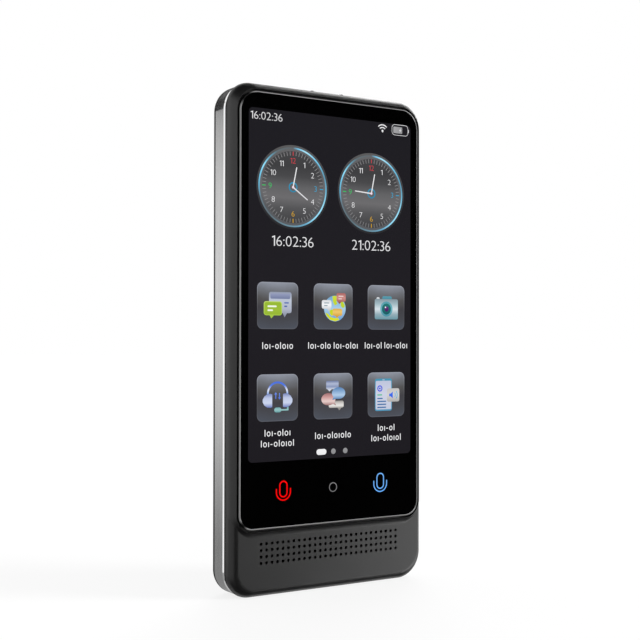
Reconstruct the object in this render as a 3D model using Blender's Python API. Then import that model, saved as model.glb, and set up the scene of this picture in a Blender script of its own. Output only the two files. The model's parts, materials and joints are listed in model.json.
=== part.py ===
# Handheld translator: an upright slab with a glass front, a plastic front housing with a
# speaker grille in its chin, a metal frame and a plastic back cover, and the pieces inside.
# The front faces -Y, the screen's right side is +X and up is +Z. The origin is the middle of
# the base. A depth is measured from the front face of the glass towards the back.

from math import cos, hypot, pi, radians, sin

import bmesh
import bpy
from mathutils import Vector

MM = 0.001

# Whole body
BODY_WIDTH = 59.8 * MM
BODY_HEIGHT = 130.9 * MM
BODY_DEPTH = 11.7 * MM
CORNER_RADIUS = 6.7 * MM
CORNER_STEPS = 7

# Clearances and overruns
SEAT_GAP = 0.25 * MM
SIDE_GAP = 0.3 * MM
CUT_OVERRUN = 1.0 * MM

# Front housing
RIM_DEPTH = 0.3 * MM
RIM_INSET = 1.3 * MM
RIM_TOP_INSET = 1.87 * MM
RIM_WIDTH = 0.12 * MM
RIM_TOP_RADIUS = 6.2 * MM
WALL_CURVE_DEPTH = 3.5 * MM
WALL_CURVE_STEPS = 4
WALL_TUCK = 0.3 * MM
CHIN_DEPTH = 0.92 * MM
CHIN_FILLET = 2.4 * MM
CHIN_RADIUS = 5.1 * MM
CHIN_STEPS = 4
CHIN_TOP = 15.14 * MM
RAMP_RUN = 1.7 * MM
RAMP_SINK = 0.04 * MM
RAMP_STEPS = 3
RIM_LOW_RADIUS = 4.7 * MM
HOUSING_DEPTH = 3.55 * MM
HOUSING_WALL = 1.5 * MM
HOUSING_PLATE_DEPTH = 2.5 * MM
LEDGE_DEPTH = 1.85 * MM
LEDGE_WIDTH = 1.6 * MM
WINDOW_RADIUS = 2.0 * MM

# Speaker grille
GRILLE_COLUMNS = 27
GRILLE_ROWS = 4
GRILLE_SIDE_INSET = 8.84 * MM
GRILLE_HOLE_RADIUS = 0.4 * MM
GRILLE_HOLE_SIDES = 6
GRILLE_HEIGHT = 11.1 * MM

# Metal frame
FRAME_WALL = 2.0 * MM
FRAME_CHAMFER = 0.2 * MM
FRAME_CHAMFER_DEPTH = 0.85 * MM
FRAME_GROOVE = 0.5 * MM
FRAME_GROOVE_INSET = 0.6 * MM
LUG_RADIUS = 2.2 * MM
LUG_THICKNESS = 1.25 * MM
LUG_INSET = 4.8 * MM
LUG_HEIGHT_INSET = 4.4 * MM

# Back cover
COVER_FILLET = 1.9 * MM
COVER_FILLET_STEPS = 4
COVER_WALL = 1.4 * MM
COVER_PLATE = 1.3 * MM
COVER_EDGE = 1.95 * MM
COVER_LIP_WIDTH = 0.8 * MM
COVER_LIP_HEIGHT = 0.8 * MM
LIP_RELIEF = 0.6 * MM

# Cover glass and its adhesive
GLASS_THICKNESS = 1.1 * MM
GLASS_BEVEL_WIDTH = 0.55 * MM
GLASS_BEVEL_DEPTH = 0.35 * MM
ADHESIVE_THICKNESS = 0.25 * MM
ADHESIVE_MARGIN = 0.15 * MM
ADHESIVE_WIDTH = 0.9 * MM

# Display
DISPLAY_THICKNESS = 1.7 * MM
DISPLAY_LOW = 32.6 * MM
DISPLAY_TOP_INSET = 5.4 * MM
DISPLAY_RADIUS = 1.5 * MM
FLEX_THICKNESS = 0.14 * MM
DISPLAY_FLEX_WIDTH = 7.0 * MM
DISPLAY_FLEX_SIDE_INSET = 15.7 * MM
DISPLAY_FLEX_DROP = 0.9 * MM
DISPLAY_FLEX_FRONT = 1.7 * MM
DISPLAY_FLEX_END = 23.2 * MM

# Midframe
MIDFRAME_THICKNESS = 0.8 * MM
STANDOFF_RADIUS = 2.0 * MM
SPEAKER_CUT_MARGIN = 0.6 * MM
FLEX_SLOT_MARGIN = 0.45 * MM

# Touch key board and lights
KEY_HEIGHT = 26.6 * MM
KEY_SIDE = 15.2 * MM
KEY_BOARD_WIDTH = 38.0 * MM
KEY_BOARD_HEIGHT = 8.4 * MM
KEY_BOARD_THICKNESS = 0.9 * MM
KEY_LIGHT_WIDTH = 1.6 * MM
KEY_LIGHT_HEIGHT = 0.8 * MM
KEY_LIGHT_THICKNESS = 0.5 * MM
KEY_FLEX_SIDE = 1.0 * MM
KEY_FLEX_WIDTH = 4.0 * MM
KEY_FLEX_DROP = 0.9 * MM
KEY_FLEX_FRONT = 2.2 * MM
KEY_FLEX_END = 24.5 * MM

# Battery
BATTERY_LEFT_INSET = 6.9 * MM
BATTERY_RIGHT_INSET = 11.9 * MM
BATTERY_ROOM = 1.05 * MM
BATTERY_LIFT = 1.3 * MM
BATTERY_ROUNDING = 0.9 * MM
CELL_BOARD_INSET = 5.5 * MM
CELL_BOARD_HEIGHT = 2.8 * MM
CELL_BOARD_SHARE = 0.4
CELL_FLEX_WIDTH = 6.0 * MM
CELL_FLEX_SIDE_INSET = 15.9 * MM
CELL_BOARD_GAP = 0.6 * MM
CELL_FLEX_REACH = 3.6 * MM

# Main board and what it carries
BOARD_THICKNESS = 0.8 * MM
BOARD_CORNER = 1.0 * MM
MAIN_BOARD_SIDE_INSET = 7.6 * MM
MAIN_BOARD_TOP_INSET = 5.5 * MM
MAIN_BOARD_LENGTH = 29.6 * MM
CAN_WALL = 0.25 * MM
CAN_HEIGHT = 1.6 * MM
CHIP_THICKNESS = 0.8 * MM
PROCESSOR_CAN_WIDTH = 24.0 * MM
PROCESSOR_CAN_SHARE = 0.44
PROCESSOR_CAN_RISE_SHARE = 0.385
PROCESSOR_CAN_SIDE = -8.0 * MM
CHIP_MARGIN = 1.0 * MM
MEMORY_WIDTH = 8.0 * MM
RADIO_CAN_WIDTH = 10.0 * MM
RADIO_CAN_SHARE = 0.27
RADIO_CAN_DROP_SHARE = 0.205
RADIO_CAN_SIDE = -7.0 * MM

# Camera and flash
CAMERA_SIDE_INSET = 15.1 * MM
CAMERA_TOP_INSET = 15.0 * MM
CAMERA_BASE = 8.5 * MM
CAMERA_BASE_SHARE = 0.7
CAMERA_BARREL_RADIUS = 3.1 * MM
CAMERA_BACK_GAP = 0.4 * MM
CAMERA_RING_RADIUS = 5.9 * MM
CAMERA_RING_NECK = 4.7 * MM
CAMERA_RING_BORE = 3.4 * MM
CAMERA_RING_FLANGE = 0.6 * MM
CAMERA_WINDOW_RADIUS = 3.8 * MM
CAMERA_WINDOW_THICKNESS = 0.5 * MM
FLASH_DROP = 10.4 * MM
FLASH_SIZE = 2.2 * MM
FLASH_THICKNESS = 0.7 * MM
FLASH_LENS_RADIUS = 1.3 * MM
FLASH_FLANGE_RADIUS = 2.1 * MM
FLASH_FLANGE_THICKNESS = 0.4 * MM

# Antenna
ANTENNA_WIDTH = 20.0 * MM
ANTENNA_LENGTH = 22.0 * MM
ANTENNA_SIDE = -12.0 * MM
ANTENNA_TOP_INSET = 22.0 * MM
ANTENNA_THICKNESS = 0.15 * MM

# Microphones
MIC_WIDTH = 3.5 * MM
MIC_LENGTH = 2.5 * MM
MIC_SHARE = 0.53
MIC_PORT_SHARE = 0.26
BOOT_WIDTH = 4.0 * MM
BOOT_SHARE = 0.62
TOP_MIC_SIDE = -16.0 * MM
LOW_MIC_SIDE = 12.0 * MM
LOW_BOOT_LENGTH = 1.4 * MM

# Keys in the frame
KEY_BODY_INSET = 0.2 * MM
KEY_TRAVEL = 0.4 * MM
KEY_TRAVEL_SPARE = 0.08 * MM
KEY_FLANGE_OVERLAP = 0.75 * MM
KEY_FLANGE_THICKNESS = 0.6 * MM
KEY_NUB_WIDTH = 2.0 * MM
KEY_NUB_HEIGHT = 0.35 * MM
KEY_ROUNDING = 0.45 * MM
POWER_KEY_SIDE = 1.9 * MM
POWER_KEY_LENGTH = 10.9 * MM
POWER_KEY_RISE = 1.15 * MM
POWER_KEY_DISH_RISE = 0.4 * MM
POWER_KEY_STEPS = 10
VOLUME_KEY_LENGTH = 10.0 * MM
VOLUME_KEY_RISE = 0.5 * MM
VOLUME_UP_TOP_INSET = 23.5 * MM
VOLUME_KEY_SPACING = 13.0 * MM
SWITCH_WIDTH = 4.6 * MM
SWITCH_FRONT_GAP = 0.35 * MM
SWITCH_BACK_GAP = 0.65 * MM
SWITCH_BODY = 1.8 * MM
SWITCH_PLUNGER = 0.4 * MM
KEY_BRACKET_THICKNESS = 0.5 * MM
KEY_BRACKET_OVERHANG = 0.35 * MM
KEY_BRACKET_MARGIN = 5.0 * MM

# Lower board, socket, motor and speaker
SUB_BOARD_SIDE_INSET = 7.9 * MM
SUB_BOARD_BACK_INSET = 4.3 * MM
SUB_BOARD_HIGH = 25.2 * MM
SOCKET_WIDTH = 8.94 * MM
SOCKET_THICKNESS = 3.26 * MM
SOCKET_LENGTH = 5.8 * MM
SOCKET_WALL = 0.3 * MM
SOCKET_RADIUS = 1.25 * MM
SOCKET_RECESS = 0.4 * MM
SOCKET_TONGUE_WIDTH = 6.6 * MM
SOCKET_TONGUE_THICKNESS = 0.7 * MM
SOCKET_TONGUE_LENGTH = 4.4 * MM
MOTOR_RADIUS = 4.0 * MM
MOTOR_GAP = 0.45 * MM
MOTOR_SIDE = -8.0 * MM
LOWER_ROW_HEIGHT = 21.0 * MM
MESH_MARGIN = 1.64 * MM
MESH_HEIGHT = 7.2 * MM
MESH_THICKNESS = 0.15 * MM
GASKET_BORDER = 0.9 * MM
GASKET_THICKNESS = 0.5 * MM
SPEAKER_HEIGHT = 8.9 * MM
SPEAKER_ROUNDING = 0.8 * MM

# Flex between the boards
MAIN_FLEX_SIDE_INSET = 9.6 * MM
MAIN_FLEX_WIDTH = 3.4 * MM
MAIN_FLEX_REACH = 6.1 * MM
MAIN_FLEX_LIFT = 4.0 * MM
MAIN_FLEX_LOW = 18.7 * MM

# Screws
SCREW_RADIUS = 0.7 * MM
SCREW_HEAD_RADIUS = 1.3 * MM
SCREW_HEAD_THICKNESS = 0.6 * MM
SCREW_RECESS_RADIUS = 0.55 * MM
SCREW_RECESS_DEPTH = 0.35 * MM
SCREW_SIDES = 12
BOARD_SCREW_INSET = 2.1 * MM
LEFT_SCREW_INSET = 2.5 * MM
RIGHT_SCREW_SIDE = 8.0 * MM

ROUND_SIDES = 24
SMOOTH_ANGLE = radians(35)

# Places that follow from the sizes above
HALF_WIDTH = BODY_WIDTH / 2
POCKET_INSET = RIM_INSET + RIM_WIDTH
POCKET_TOP_INSET = RIM_TOP_INSET + RIM_WIDTH
POCKET_LOW = CHIN_TOP + RAMP_RUN + RIM_WIDTH
POCKET_LOW_RADIUS = RIM_LOW_RADIUS - RIM_WIDTH
GRILLE_WIDTH = BODY_WIDTH - 2 * GRILLE_SIDE_INSET
GRILLE_PITCH = GRILLE_WIDTH / (GRILLE_COLUMNS - 1)
DISPLAY_DEPTH = GLASS_THICKNESS + SEAT_GAP
DISPLAY_HIGH = BODY_HEIGHT - DISPLAY_TOP_INSET
DISPLAY_FLEX_HEIGHT = DISPLAY_LOW - DISPLAY_FLEX_DROP
DISPLAY_FLEX_SIDE = HALF_WIDTH - DISPLAY_FLEX_SIDE_INSET
KEY_FLEX_HEIGHT = KEY_HEIGHT - KEY_BOARD_HEIGHT / 2 - KEY_FLEX_DROP
MIDFRAME_DEPTH = DISPLAY_DEPTH + DISPLAY_THICKNESS + SEAT_GAP
MIDFRAME_BACK = MIDFRAME_DEPTH + MIDFRAME_THICKNESS
FRAME_FRONT = HOUSING_DEPTH + SEAT_GAP
COVER_FRONT = BODY_DEPTH - COVER_EDGE
FRAME_BACK = COVER_FRONT - SEAT_GAP
COVER_INNER = BODY_DEPTH - COVER_PLATE
MAIN_BOARD_DEPTH = MIDFRAME_BACK + SEAT_GAP
MAIN_BOARD_BACK = MAIN_BOARD_DEPTH + BOARD_THICKNESS
MAIN_BOARD_WIDTH = BODY_WIDTH - 2 * MAIN_BOARD_SIDE_INSET
MAIN_BOARD_HIGH = BODY_HEIGHT - MAIN_BOARD_TOP_INSET
MAIN_BOARD_LOW = MAIN_BOARD_HIGH - MAIN_BOARD_LENGTH
ON_BOARD = MAIN_BOARD_BACK + SEAT_GAP
PROCESSOR_CAN_HEIGHT = MAIN_BOARD_LOW + MAIN_BOARD_LENGTH * PROCESSOR_CAN_RISE_SHARE
PROCESSOR_CAN_LENGTH = MAIN_BOARD_LENGTH * PROCESSOR_CAN_SHARE
PROCESSOR_SIZE = PROCESSOR_CAN_LENGTH - 2 * (CAN_WALL + CHIP_MARGIN)
RADIO_CAN_HEIGHT = MAIN_BOARD_HIGH - MAIN_BOARD_LENGTH * RADIO_CAN_DROP_SHARE
RADIO_CAN_LENGTH = MAIN_BOARD_LENGTH * RADIO_CAN_SHARE
RADIO_CHIP_SIZE = RADIO_CAN_LENGTH - 2 * (CAN_WALL + CHIP_MARGIN)
BATTERY_WIDTH = BODY_WIDTH - BATTERY_LEFT_INSET - BATTERY_RIGHT_INSET
BATTERY_FRONT = MIDFRAME_BACK + SEAT_GAP
BATTERY_THICKNESS = COVER_INNER - BATTERY_ROOM - BATTERY_FRONT
BATTERY_SIDE = (BATTERY_LEFT_INSET - BATTERY_RIGHT_INSET) / 2
CELL_FLEX_SIDE = CELL_FLEX_SIDE_INSET - HALF_WIDTH
BATTERY_LOW = DISPLAY_LOW + BATTERY_LIFT
BATTERY_HIGH = MAIN_BOARD_LOW - CELL_BOARD_GAP - CELL_BOARD_HEIGHT - SIDE_GAP
SUB_BOARD_DEPTH = BODY_DEPTH - SUB_BOARD_BACK_INSET
SUB_BOARD_BACK = SUB_BOARD_DEPTH + BOARD_THICKNESS
BOOT_THICKNESS = (SUB_BOARD_DEPTH - SEAT_GAP - MIDFRAME_BACK) * BOOT_SHARE
MIC_THICKNESS = BOOT_THICKNESS * MIC_SHARE
MIC_PORT_RADIUS = BOOT_THICKNESS * MIC_PORT_SHARE
SUB_BOARD_WIDTH = BODY_WIDTH - 2 * SUB_BOARD_SIDE_INSET
SUB_BOARD_LOW = FRAME_WALL + SIDE_GAP
LUG_FRONT = MIDFRAME_BACK + SEAT_GAP
LUG_BACK = LUG_FRONT + LUG_THICKNESS
LUG_PLACES = tuple(
    (side * (HALF_WIDTH - LUG_INSET), height)
    for side in (-1, 1)
    for height in (LUG_HEIGHT_INSET, BODY_HEIGHT - LUG_HEIGHT_INSET)
)
SCREW_HOLE_RADIUS = SCREW_RADIUS + SIDE_GAP
MAIN_SCREW_SIDE = MAIN_BOARD_WIDTH / 2 - BOARD_SCREW_INSET
MAIN_SCREW_PLACES = (
    (-MAIN_SCREW_SIDE, MAIN_BOARD_LOW + BOARD_SCREW_INSET),
    (MAIN_SCREW_SIDE, MAIN_BOARD_HIGH - BOARD_SCREW_INSET),
)
SUB_SCREW_PLACES = (
    (LEFT_SCREW_INSET - SUB_BOARD_WIDTH / 2, LOWER_ROW_HEIGHT),
    (RIGHT_SCREW_SIDE, LOWER_ROW_HEIGHT),
)
SWITCH_FRONT = MAIN_BOARD_BACK + SWITCH_FRONT_GAP
SWITCH_BACK = COVER_FRONT - COVER_LIP_HEIGHT - SWITCH_BACK_GAP
KEY_DEPTH = (SWITCH_FRONT + SWITCH_BACK) / 2
KEY_BODY = SWITCH_BACK - SWITCH_FRONT - 2 * KEY_BODY_INSET
KEY_STACK = SIDE_GAP + KEY_FLANGE_THICKNESS + KEY_NUB_HEIGHT + KEY_TRAVEL + KEY_TRAVEL_SPARE
VOLUME_UP_HEIGHT = BODY_HEIGHT - VOLUME_UP_TOP_INSET
VOLUME_DOWN_HEIGHT = VOLUME_UP_HEIGHT - VOLUME_KEY_SPACING
CAMERA_BACK = COVER_INNER - CAMERA_BACK_GAP
CAMERA_BASE_THICKNESS = (CAMERA_BACK - ON_BOARD) * CAMERA_BASE_SHARE
CAMERA_SIDE = HALF_WIDTH - CAMERA_SIDE_INSET
CAMERA_HEIGHT = BODY_HEIGHT - CAMERA_TOP_INSET
FLASH_HEIGHT = CAMERA_HEIGHT - FLASH_DROP
ANTENNA_HEIGHT = BODY_HEIGHT - ANTENNA_TOP_INSET
MESH_WIDTH = GRILLE_WIDTH + 2 * MESH_MARGIN
MESH_DEPTH = HOUSING_PLATE_DEPTH + SEAT_GAP
SPEAKER_LOW = GRILLE_HEIGHT - MESH_HEIGHT / 2
GASKET_DEPTH = MESH_DEPTH + MESH_THICKNESS + SEAT_GAP
SPEAKER_DEPTH = GASKET_DEPTH + GASKET_THICKNESS + SEAT_GAP
SOCKET_TOP = SOCKET_RECESS + SOCKET_LENGTH
MAIN_FLEX_SIDE = HALF_WIDTH - MAIN_FLEX_SIDE_INSET
MAIN_FLEX_HIGH = MAIN_BOARD_LOW + MAIN_FLEX_REACH
MAIN_FLEX_BEND = SUB_BOARD_HIGH + MAIN_FLEX_LIFT


# Scene, materials and objects

def clear_scene():
    for item in list(bpy.data.objects):
        bpy.data.objects.remove(item, do_unlink=True)


def finish(name, color, roughness, metallic=0.0):
    """One Principled material, made once and shared by the pieces that ask for its name."""
    found = bpy.data.materials.get(name)
    if found:
        return found
    made = bpy.data.materials.new(name)
    made.use_nodes = True
    made.diffuse_color = (*color, 1.0)
    shader = made.node_tree.nodes["Principled BSDF"]
    shader.inputs["Base Color"].default_value = (*color, 1.0)
    shader.inputs["Roughness"].default_value = roughness
    shader.inputs["Metallic"].default_value = metallic
    return made


def make_object(name, work, material, place=(0, 0, 0)):
    """Turn a bmesh in body coordinates (x, depth, z) into an object that sits at a place."""
    x, depth, z = place
    for vert in work.verts:
        vert.co -= Vector((x, depth, z))
    bmesh.ops.recalc_face_normals(work, faces=work.faces)
    mesh = bpy.data.meshes.new(name)
    work.to_mesh(mesh)
    work.free()
    mesh.shade_smooth()
    mesh.set_sharp_from_angle(angle=SMOOTH_ANGLE)
    made = bpy.data.objects.new(name, mesh)
    made.location = (x, depth - BODY_DEPTH / 2, z)
    bpy.context.scene.collection.objects.link(made)
    if material:
        mesh.materials.append(material)
    return made


def boolean(target, tool, operation):
    """Cut a tool from a target, or join it on; the tool stays as a hidden guide."""
    modifier = target.modifiers.new(operation.lower(), "BOOLEAN")
    modifier.operation = operation
    modifier.solver = "EXACT"
    modifier.object = tool
    tool.hide_render = True
    tool.display_type = "WIRE"


def cut(target, *tools):
    for tool in tools:
        boolean(target, tool, "DIFFERENCE")


def join(target, *tools):
    for tool in tools:
        boolean(target, tool, "UNION")


# Outlines and solids

def arc(centre_a, centre_b, radius, start, steps):
    """Points of a quarter circle in a plane, from a start angle in degrees."""
    turns = [radians(start + 90 * step / steps) for step in range(steps + 1)]
    return [(centre_a + radius * cos(turn), centre_b + radius * sin(turn)) for turn in turns]


def rounded(half_width, low, high, low_radius, high_radius, steps=CORNER_STEPS):
    """A rounded rectangle, anticlockwise, centred across and reaching from low to high."""
    points = arc(half_width - low_radius, low + low_radius, low_radius, -90, steps)
    points += arc(half_width - high_radius, high - high_radius, high_radius, 0, steps)
    points += arc(high_radius - half_width, high - high_radius, high_radius, 90, steps)
    points += arc(low_radius - half_width, low + low_radius, low_radius, 180, steps)
    return points


def at_depth(points, depth, side=0.0):
    return [(x + side, depth, z) for x, z in points]


def body_ring(inset, depth):
    """The body's outline drawn in by an inset, at a depth."""
    radius = CORNER_RADIUS - inset
    return at_depth(rounded(HALF_WIDTH - inset, inset, BODY_HEIGHT - inset, radius, radius), depth)


def loft(name, rings, material=None, closed=False, place=(0, 0, 0)):
    """Bridge rings of equal counts; the ends are capped, or joined where the row is closed."""
    work = bmesh.new()
    loops = [[work.verts.new(point) for point in ring] for ring in rings]
    pairs = list(zip(loops, loops[1:]))
    if closed:
        pairs.append((loops[-1], loops[0]))
    else:
        work.faces.new(loops[0])
        work.faces.new(loops[-1])
    for first, second in pairs:
        for here in range(len(first)):
            after = (here + 1) % len(first)
            work.faces.new((first[here], first[after], second[after], second[here]))
    return make_object(name, work, material, place)


def plate(name, material, side, height, width, length, front, back, radius=0.0, steps=3):
    """A flat plate parallel to the front, with rounded corners, between two depths."""
    low = height - length / 2
    if radius:
        points = rounded(width / 2, low, low + length, radius, radius, steps)
    else:
        half = width / 2
        points = [(half, low), (half, low + length), (-half, low + length), (-half, low)]
    rings = [at_depth(points, front, side), at_depth(points, back, side)]
    middle = (side, (front + back) / 2, height)
    return loft(name, rings, material, place=middle)


def turned(name, material, side, height, profile, sides=ROUND_SIDES, ring=False):
    """Turn a profile of (radius, depth) points about an axis that runs front to back."""
    work = bmesh.new()
    loops = []
    for radius, depth in profile:
        turns = [2 * pi * step / sides for step in range(sides)]
        points = [(side + radius * cos(turn), depth, height + radius * sin(turn)) for turn in turns]
        loops.append([work.verts.new(point) for point in points])
    pairs = list(zip(loops, loops[1:]))
    if ring:
        pairs.append((loops[-1], loops[0]))
    else:
        work.faces.new(loops[0])
        work.faces.new(loops[-1])
    for first, second in pairs:
        for here in range(sides):
            after = (here + 1) % sides
            work.faces.new((first[here], first[after], second[after], second[here]))
    return make_object(name, work, material, (side, profile[0][1], height))


def rod(name, side, height, radius, front, back, sides=ROUND_SIDES, material=None):
    return turned(name, material, side, height, ((radius, front), (radius, back)), sides)


def upright_tube(name, material, side, depth, half_width, half_depth, radius, low, high):
    """A rounded bar that stands upright: its outline lies level, from low to high."""
    points = rounded(half_width, -half_depth, half_depth, radius, radius, steps=4)
    rings = [[(side + x, depth + y, level) for x, y in points] for level in (low, high)]
    return loft(name, rings, material, place=(side, depth, low))


def ribbon(name, material, side, width, route, thickness=FLEX_THICKNESS):
    """A flat flex that follows a route of (depth, height) points, with an even thickness."""
    front, back = [], []
    for index, (depth, height) in enumerate(route):
        before = route[max(index - 1, 0)]
        after = route[min(index + 1, len(route) - 1)]
        normals = []
        for start, end in ((before, (depth, height)), ((depth, height), after)):
            run = hypot(end[0] - start[0], end[1] - start[1])
            if run:
                normals.append(Vector((-(end[1] - start[1]) / run, (end[0] - start[0]) / run)))
        middle = sum(normals, Vector((0, 0)))
        middle = middle / middle.dot(normals[0])
        front.append((depth + middle.x * thickness / 2, height + middle.y * thickness / 2))
        back.append((depth - middle.x * thickness / 2, height - middle.y * thickness / 2))
    points = front + back[::-1]
    rings = [[(side + x, depth, height) for depth, height in points] for x in (-width / 2, width / 2)]
    return loft(name, rings, material, place=(side, *route[0]))


def screw(name, place, head_front, tip):
    """A pan-head screw that enters from the back; its tip points to the front."""
    side, height = place
    head_back = head_front + SCREW_HEAD_THICKNESS
    recess = head_back - SCREW_RECESS_DEPTH
    profile = (
        (SCREW_RADIUS, tip),
        (SCREW_RADIUS, head_front),
        (SCREW_HEAD_RADIUS, head_front),
        (SCREW_HEAD_RADIUS, head_back),
        (SCREW_RECESS_RADIUS, head_back),
        (SCREW_RECESS_RADIUS, recess),
    )
    steel = finish("screw_steel", (0.32, 0.32, 0.33), 0.35, 1.0)
    return turned(name, steel, side, height, profile, SCREW_SIDES)


# Outer shells

def chin_ring(step):
    """One outline of the chin's round edge, from its flat front to the full width."""
    turn = radians(90 * (1 - step / CHIN_STEPS))
    inset = CHIN_FILLET * (1 - cos(turn))
    radius = CORNER_RADIUS - (CORNER_RADIUS - CHIN_RADIUS) * (1 - cos(turn))
    points = rounded(HALF_WIDTH - inset, inset, BODY_HEIGHT - inset, radius, radius)
    return at_depth(points, CHIN_DEPTH + CHIN_FILLET * (1 - sin(turn)))


def rim_ring(depth, flare, tuck=0.0):
    """The raised part round the glass: its wall swells backwards, its foot flares onto the chin."""
    swell = ((WALL_CURVE_DEPTH - depth) / (WALL_CURVE_DEPTH - RIM_DEPTH)) ** 2
    half = HALF_WIDTH - RIM_INSET * swell - tuck
    high = BODY_HEIGHT - RIM_TOP_INSET * swell - tuck
    high_radius = CORNER_RADIUS - (CORNER_RADIUS - RIM_TOP_RADIUS) * swell - tuck
    low = CHIN_TOP + RAMP_RUN - flare
    return at_depth(rounded(half, low, high, RIM_LOW_RADIUS + flare, high_radius), depth)


def front_housing():
    plastic = finish("housing_plastic", (0.022, 0.022, 0.023), 0.45)
    rings = [chin_ring(step) for step in range(CHIN_STEPS + 1)]
    rings.append(body_ring(0.0, HOUSING_DEPTH))
    housing = loft("front_housing", rings, plastic)

    rim = []
    for step in range(RAMP_STEPS + 1):
        turn = radians(90 * step / RAMP_STEPS)
        depth = RIM_DEPTH + (CHIN_DEPTH + RAMP_SINK - RIM_DEPTH) * sin(turn)
        rim.append(rim_ring(depth, RAMP_RUN * (1 - cos(turn))))
    for step in range(1, WALL_CURVE_STEPS):
        depth = RIM_DEPTH + (WALL_CURVE_DEPTH - RIM_DEPTH) * step / WALL_CURVE_STEPS
        rim.append(rim_ring(depth, RAMP_RUN))
    rim.append(rim_ring(WALL_CURVE_DEPTH, RAMP_RUN, WALL_TUCK))
    join(housing, loft("rim_guide", rim))

    pocket = [pocket_ring(0.0, -CUT_OVERRUN), pocket_ring(0.0, LEDGE_DEPTH)]
    window = [window_ring(CHIN_DEPTH), window_ring(HOUSING_DEPTH)]
    cavity = [body_ring(HOUSING_WALL, HOUSING_PLATE_DEPTH)]
    cavity.append(body_ring(HOUSING_WALL, HOUSING_DEPTH + CUT_OVERRUN))
    cut(housing, loft("cavity_cutter", cavity), loft("pocket_cutter", pocket))
    cut(housing, loft("window_cutter", window), grille_cutter())


def pocket_ring(inset, depth):
    """The pocket that the glass lies in, drawn in by an inset."""
    half = HALF_WIDTH - POCKET_INSET - inset
    high = BODY_HEIGHT - POCKET_TOP_INSET - inset
    high_radius = RIM_TOP_RADIUS - RIM_WIDTH - inset
    low_radius = POCKET_LOW_RADIUS - inset
    return at_depth(rounded(half, POCKET_LOW + inset, high, low_radius, high_radius), depth)


def window_ring(depth):
    """The opening inside the ledge, for the display and the touch key board."""
    half = HALF_WIDTH - POCKET_INSET - LEDGE_WIDTH
    low = POCKET_LOW + LEDGE_WIDTH
    high = BODY_HEIGHT - POCKET_TOP_INSET - LEDGE_WIDTH
    return at_depth(rounded(half, low, high, WINDOW_RADIUS, WINDOW_RADIUS), depth)


def grille_cutter():
    """All holes of the grille as one guide: rows and columns on a square pitch."""
    work = bmesh.new()
    front = CHIN_DEPTH - CUT_OVERRUN
    back = HOUSING_PLATE_DEPTH + CUT_OVERRUN
    for row in range(GRILLE_ROWS):
        height = GRILLE_HEIGHT + GRILLE_PITCH * (row - (GRILLE_ROWS - 1) / 2)
        for column in range(GRILLE_COLUMNS):
            side = GRILLE_PITCH * (column - (GRILLE_COLUMNS - 1) / 2)
            ends = []
            for depth in (front, back):
                loop = []
                for step in range(GRILLE_HOLE_SIDES):
                    turn = 2 * pi * step / GRILLE_HOLE_SIDES
                    x = side + GRILLE_HOLE_RADIUS * cos(turn)
                    z = height + GRILLE_HOLE_RADIUS * sin(turn)
                    loop.append(work.verts.new((x, depth, z)))
                ends.append(loop)
            near, far = ends
            work.faces.new(near)
            work.faces.new(far[::-1])
            for here in range(GRILLE_HOLE_SIDES):
                after = (here + 1) % GRILLE_HOLE_SIDES
                work.faces.new((near[here], far[here], far[after], near[after]))
    return make_object("grille_cutter", work, None)


def metal_frame():
    metal = finish("brushed_aluminium", (0.55, 0.55, 0.56), 0.3, 1.0)
    groove_back = FRAME_FRONT + FRAME_GROOVE
    profile = (
        (FRAME_GROOVE_INSET, FRAME_FRONT),
        (FRAME_GROOVE_INSET, groove_back),
        (FRAME_CHAMFER, groove_back),
        (0.0, groove_back + FRAME_CHAMFER_DEPTH),
        (0.0, FRAME_BACK),
        (FRAME_WALL, FRAME_BACK),
        (FRAME_WALL, FRAME_FRONT),
    )
    frame = loft("metal_frame", [body_ring(*point) for point in profile], metal, closed=True)
    for index, (side, height) in enumerate(LUG_PLACES):
        name = f"lug_{index + 1}"
        join(frame, rod(f"{name}_guide", side, height, LUG_RADIUS, LUG_FRONT, LUG_BACK, SCREW_SIDES))
        cut(frame, screw_hole(f"{name}_cutter", side, height, LUG_FRONT, LUG_BACK))

    slot_half = KEY_BODY / 2 + SIDE_GAP
    power_half = POWER_KEY_LENGTH / 2 + SIDE_GAP
    top_slot = (POWER_KEY_SIDE, KEY_DEPTH, power_half, slot_half, KEY_ROUNDING)
    top_span = (BODY_HEIGHT - FRAME_WALL - CUT_OVERRUN, BODY_HEIGHT + CUT_OVERRUN)
    cut(frame, upright_tube("power_slot_cutter", None, *top_slot, *top_span))

    low_slot = (0.0, KEY_DEPTH, SOCKET_WIDTH / 2 + SIDE_GAP, SOCKET_THICKNESS / 2 + SIDE_GAP)
    low_span = (-CUT_OVERRUN, FRAME_WALL + CUT_OVERRUN)
    cut(frame, upright_tube("socket_slot_cutter", None, *low_slot, SOCKET_RADIUS + SIDE_GAP, *low_span))

    for name, height in (("volume_up", VOLUME_UP_HEIGHT), ("volume_down", VOLUME_DOWN_HEIGHT)):
        cut(frame, volume_slot(f"{name}_slot_cutter", height, slot_half))

    for name, side, depth, span in (
        ("top_port", TOP_MIC_SIDE, ON_BOARD + BOOT_THICKNESS / 2, top_span),
        ("low_port", LOW_MIC_SIDE, low_mic_depth(), low_span),
    ):
        port = (side, depth, MIC_PORT_RADIUS, MIC_PORT_RADIUS, MIC_PORT_RADIUS * 0.9)
        cut(frame, upright_tube(f"{name}_cutter", None, *port, *span))


def screw_hole(name, side, height, front, back):
    radius = SCREW_HOLE_RADIUS
    return rod(name, side, height, radius, front - CUT_OVERRUN, back + CUT_OVERRUN, SCREW_SIDES)


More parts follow.
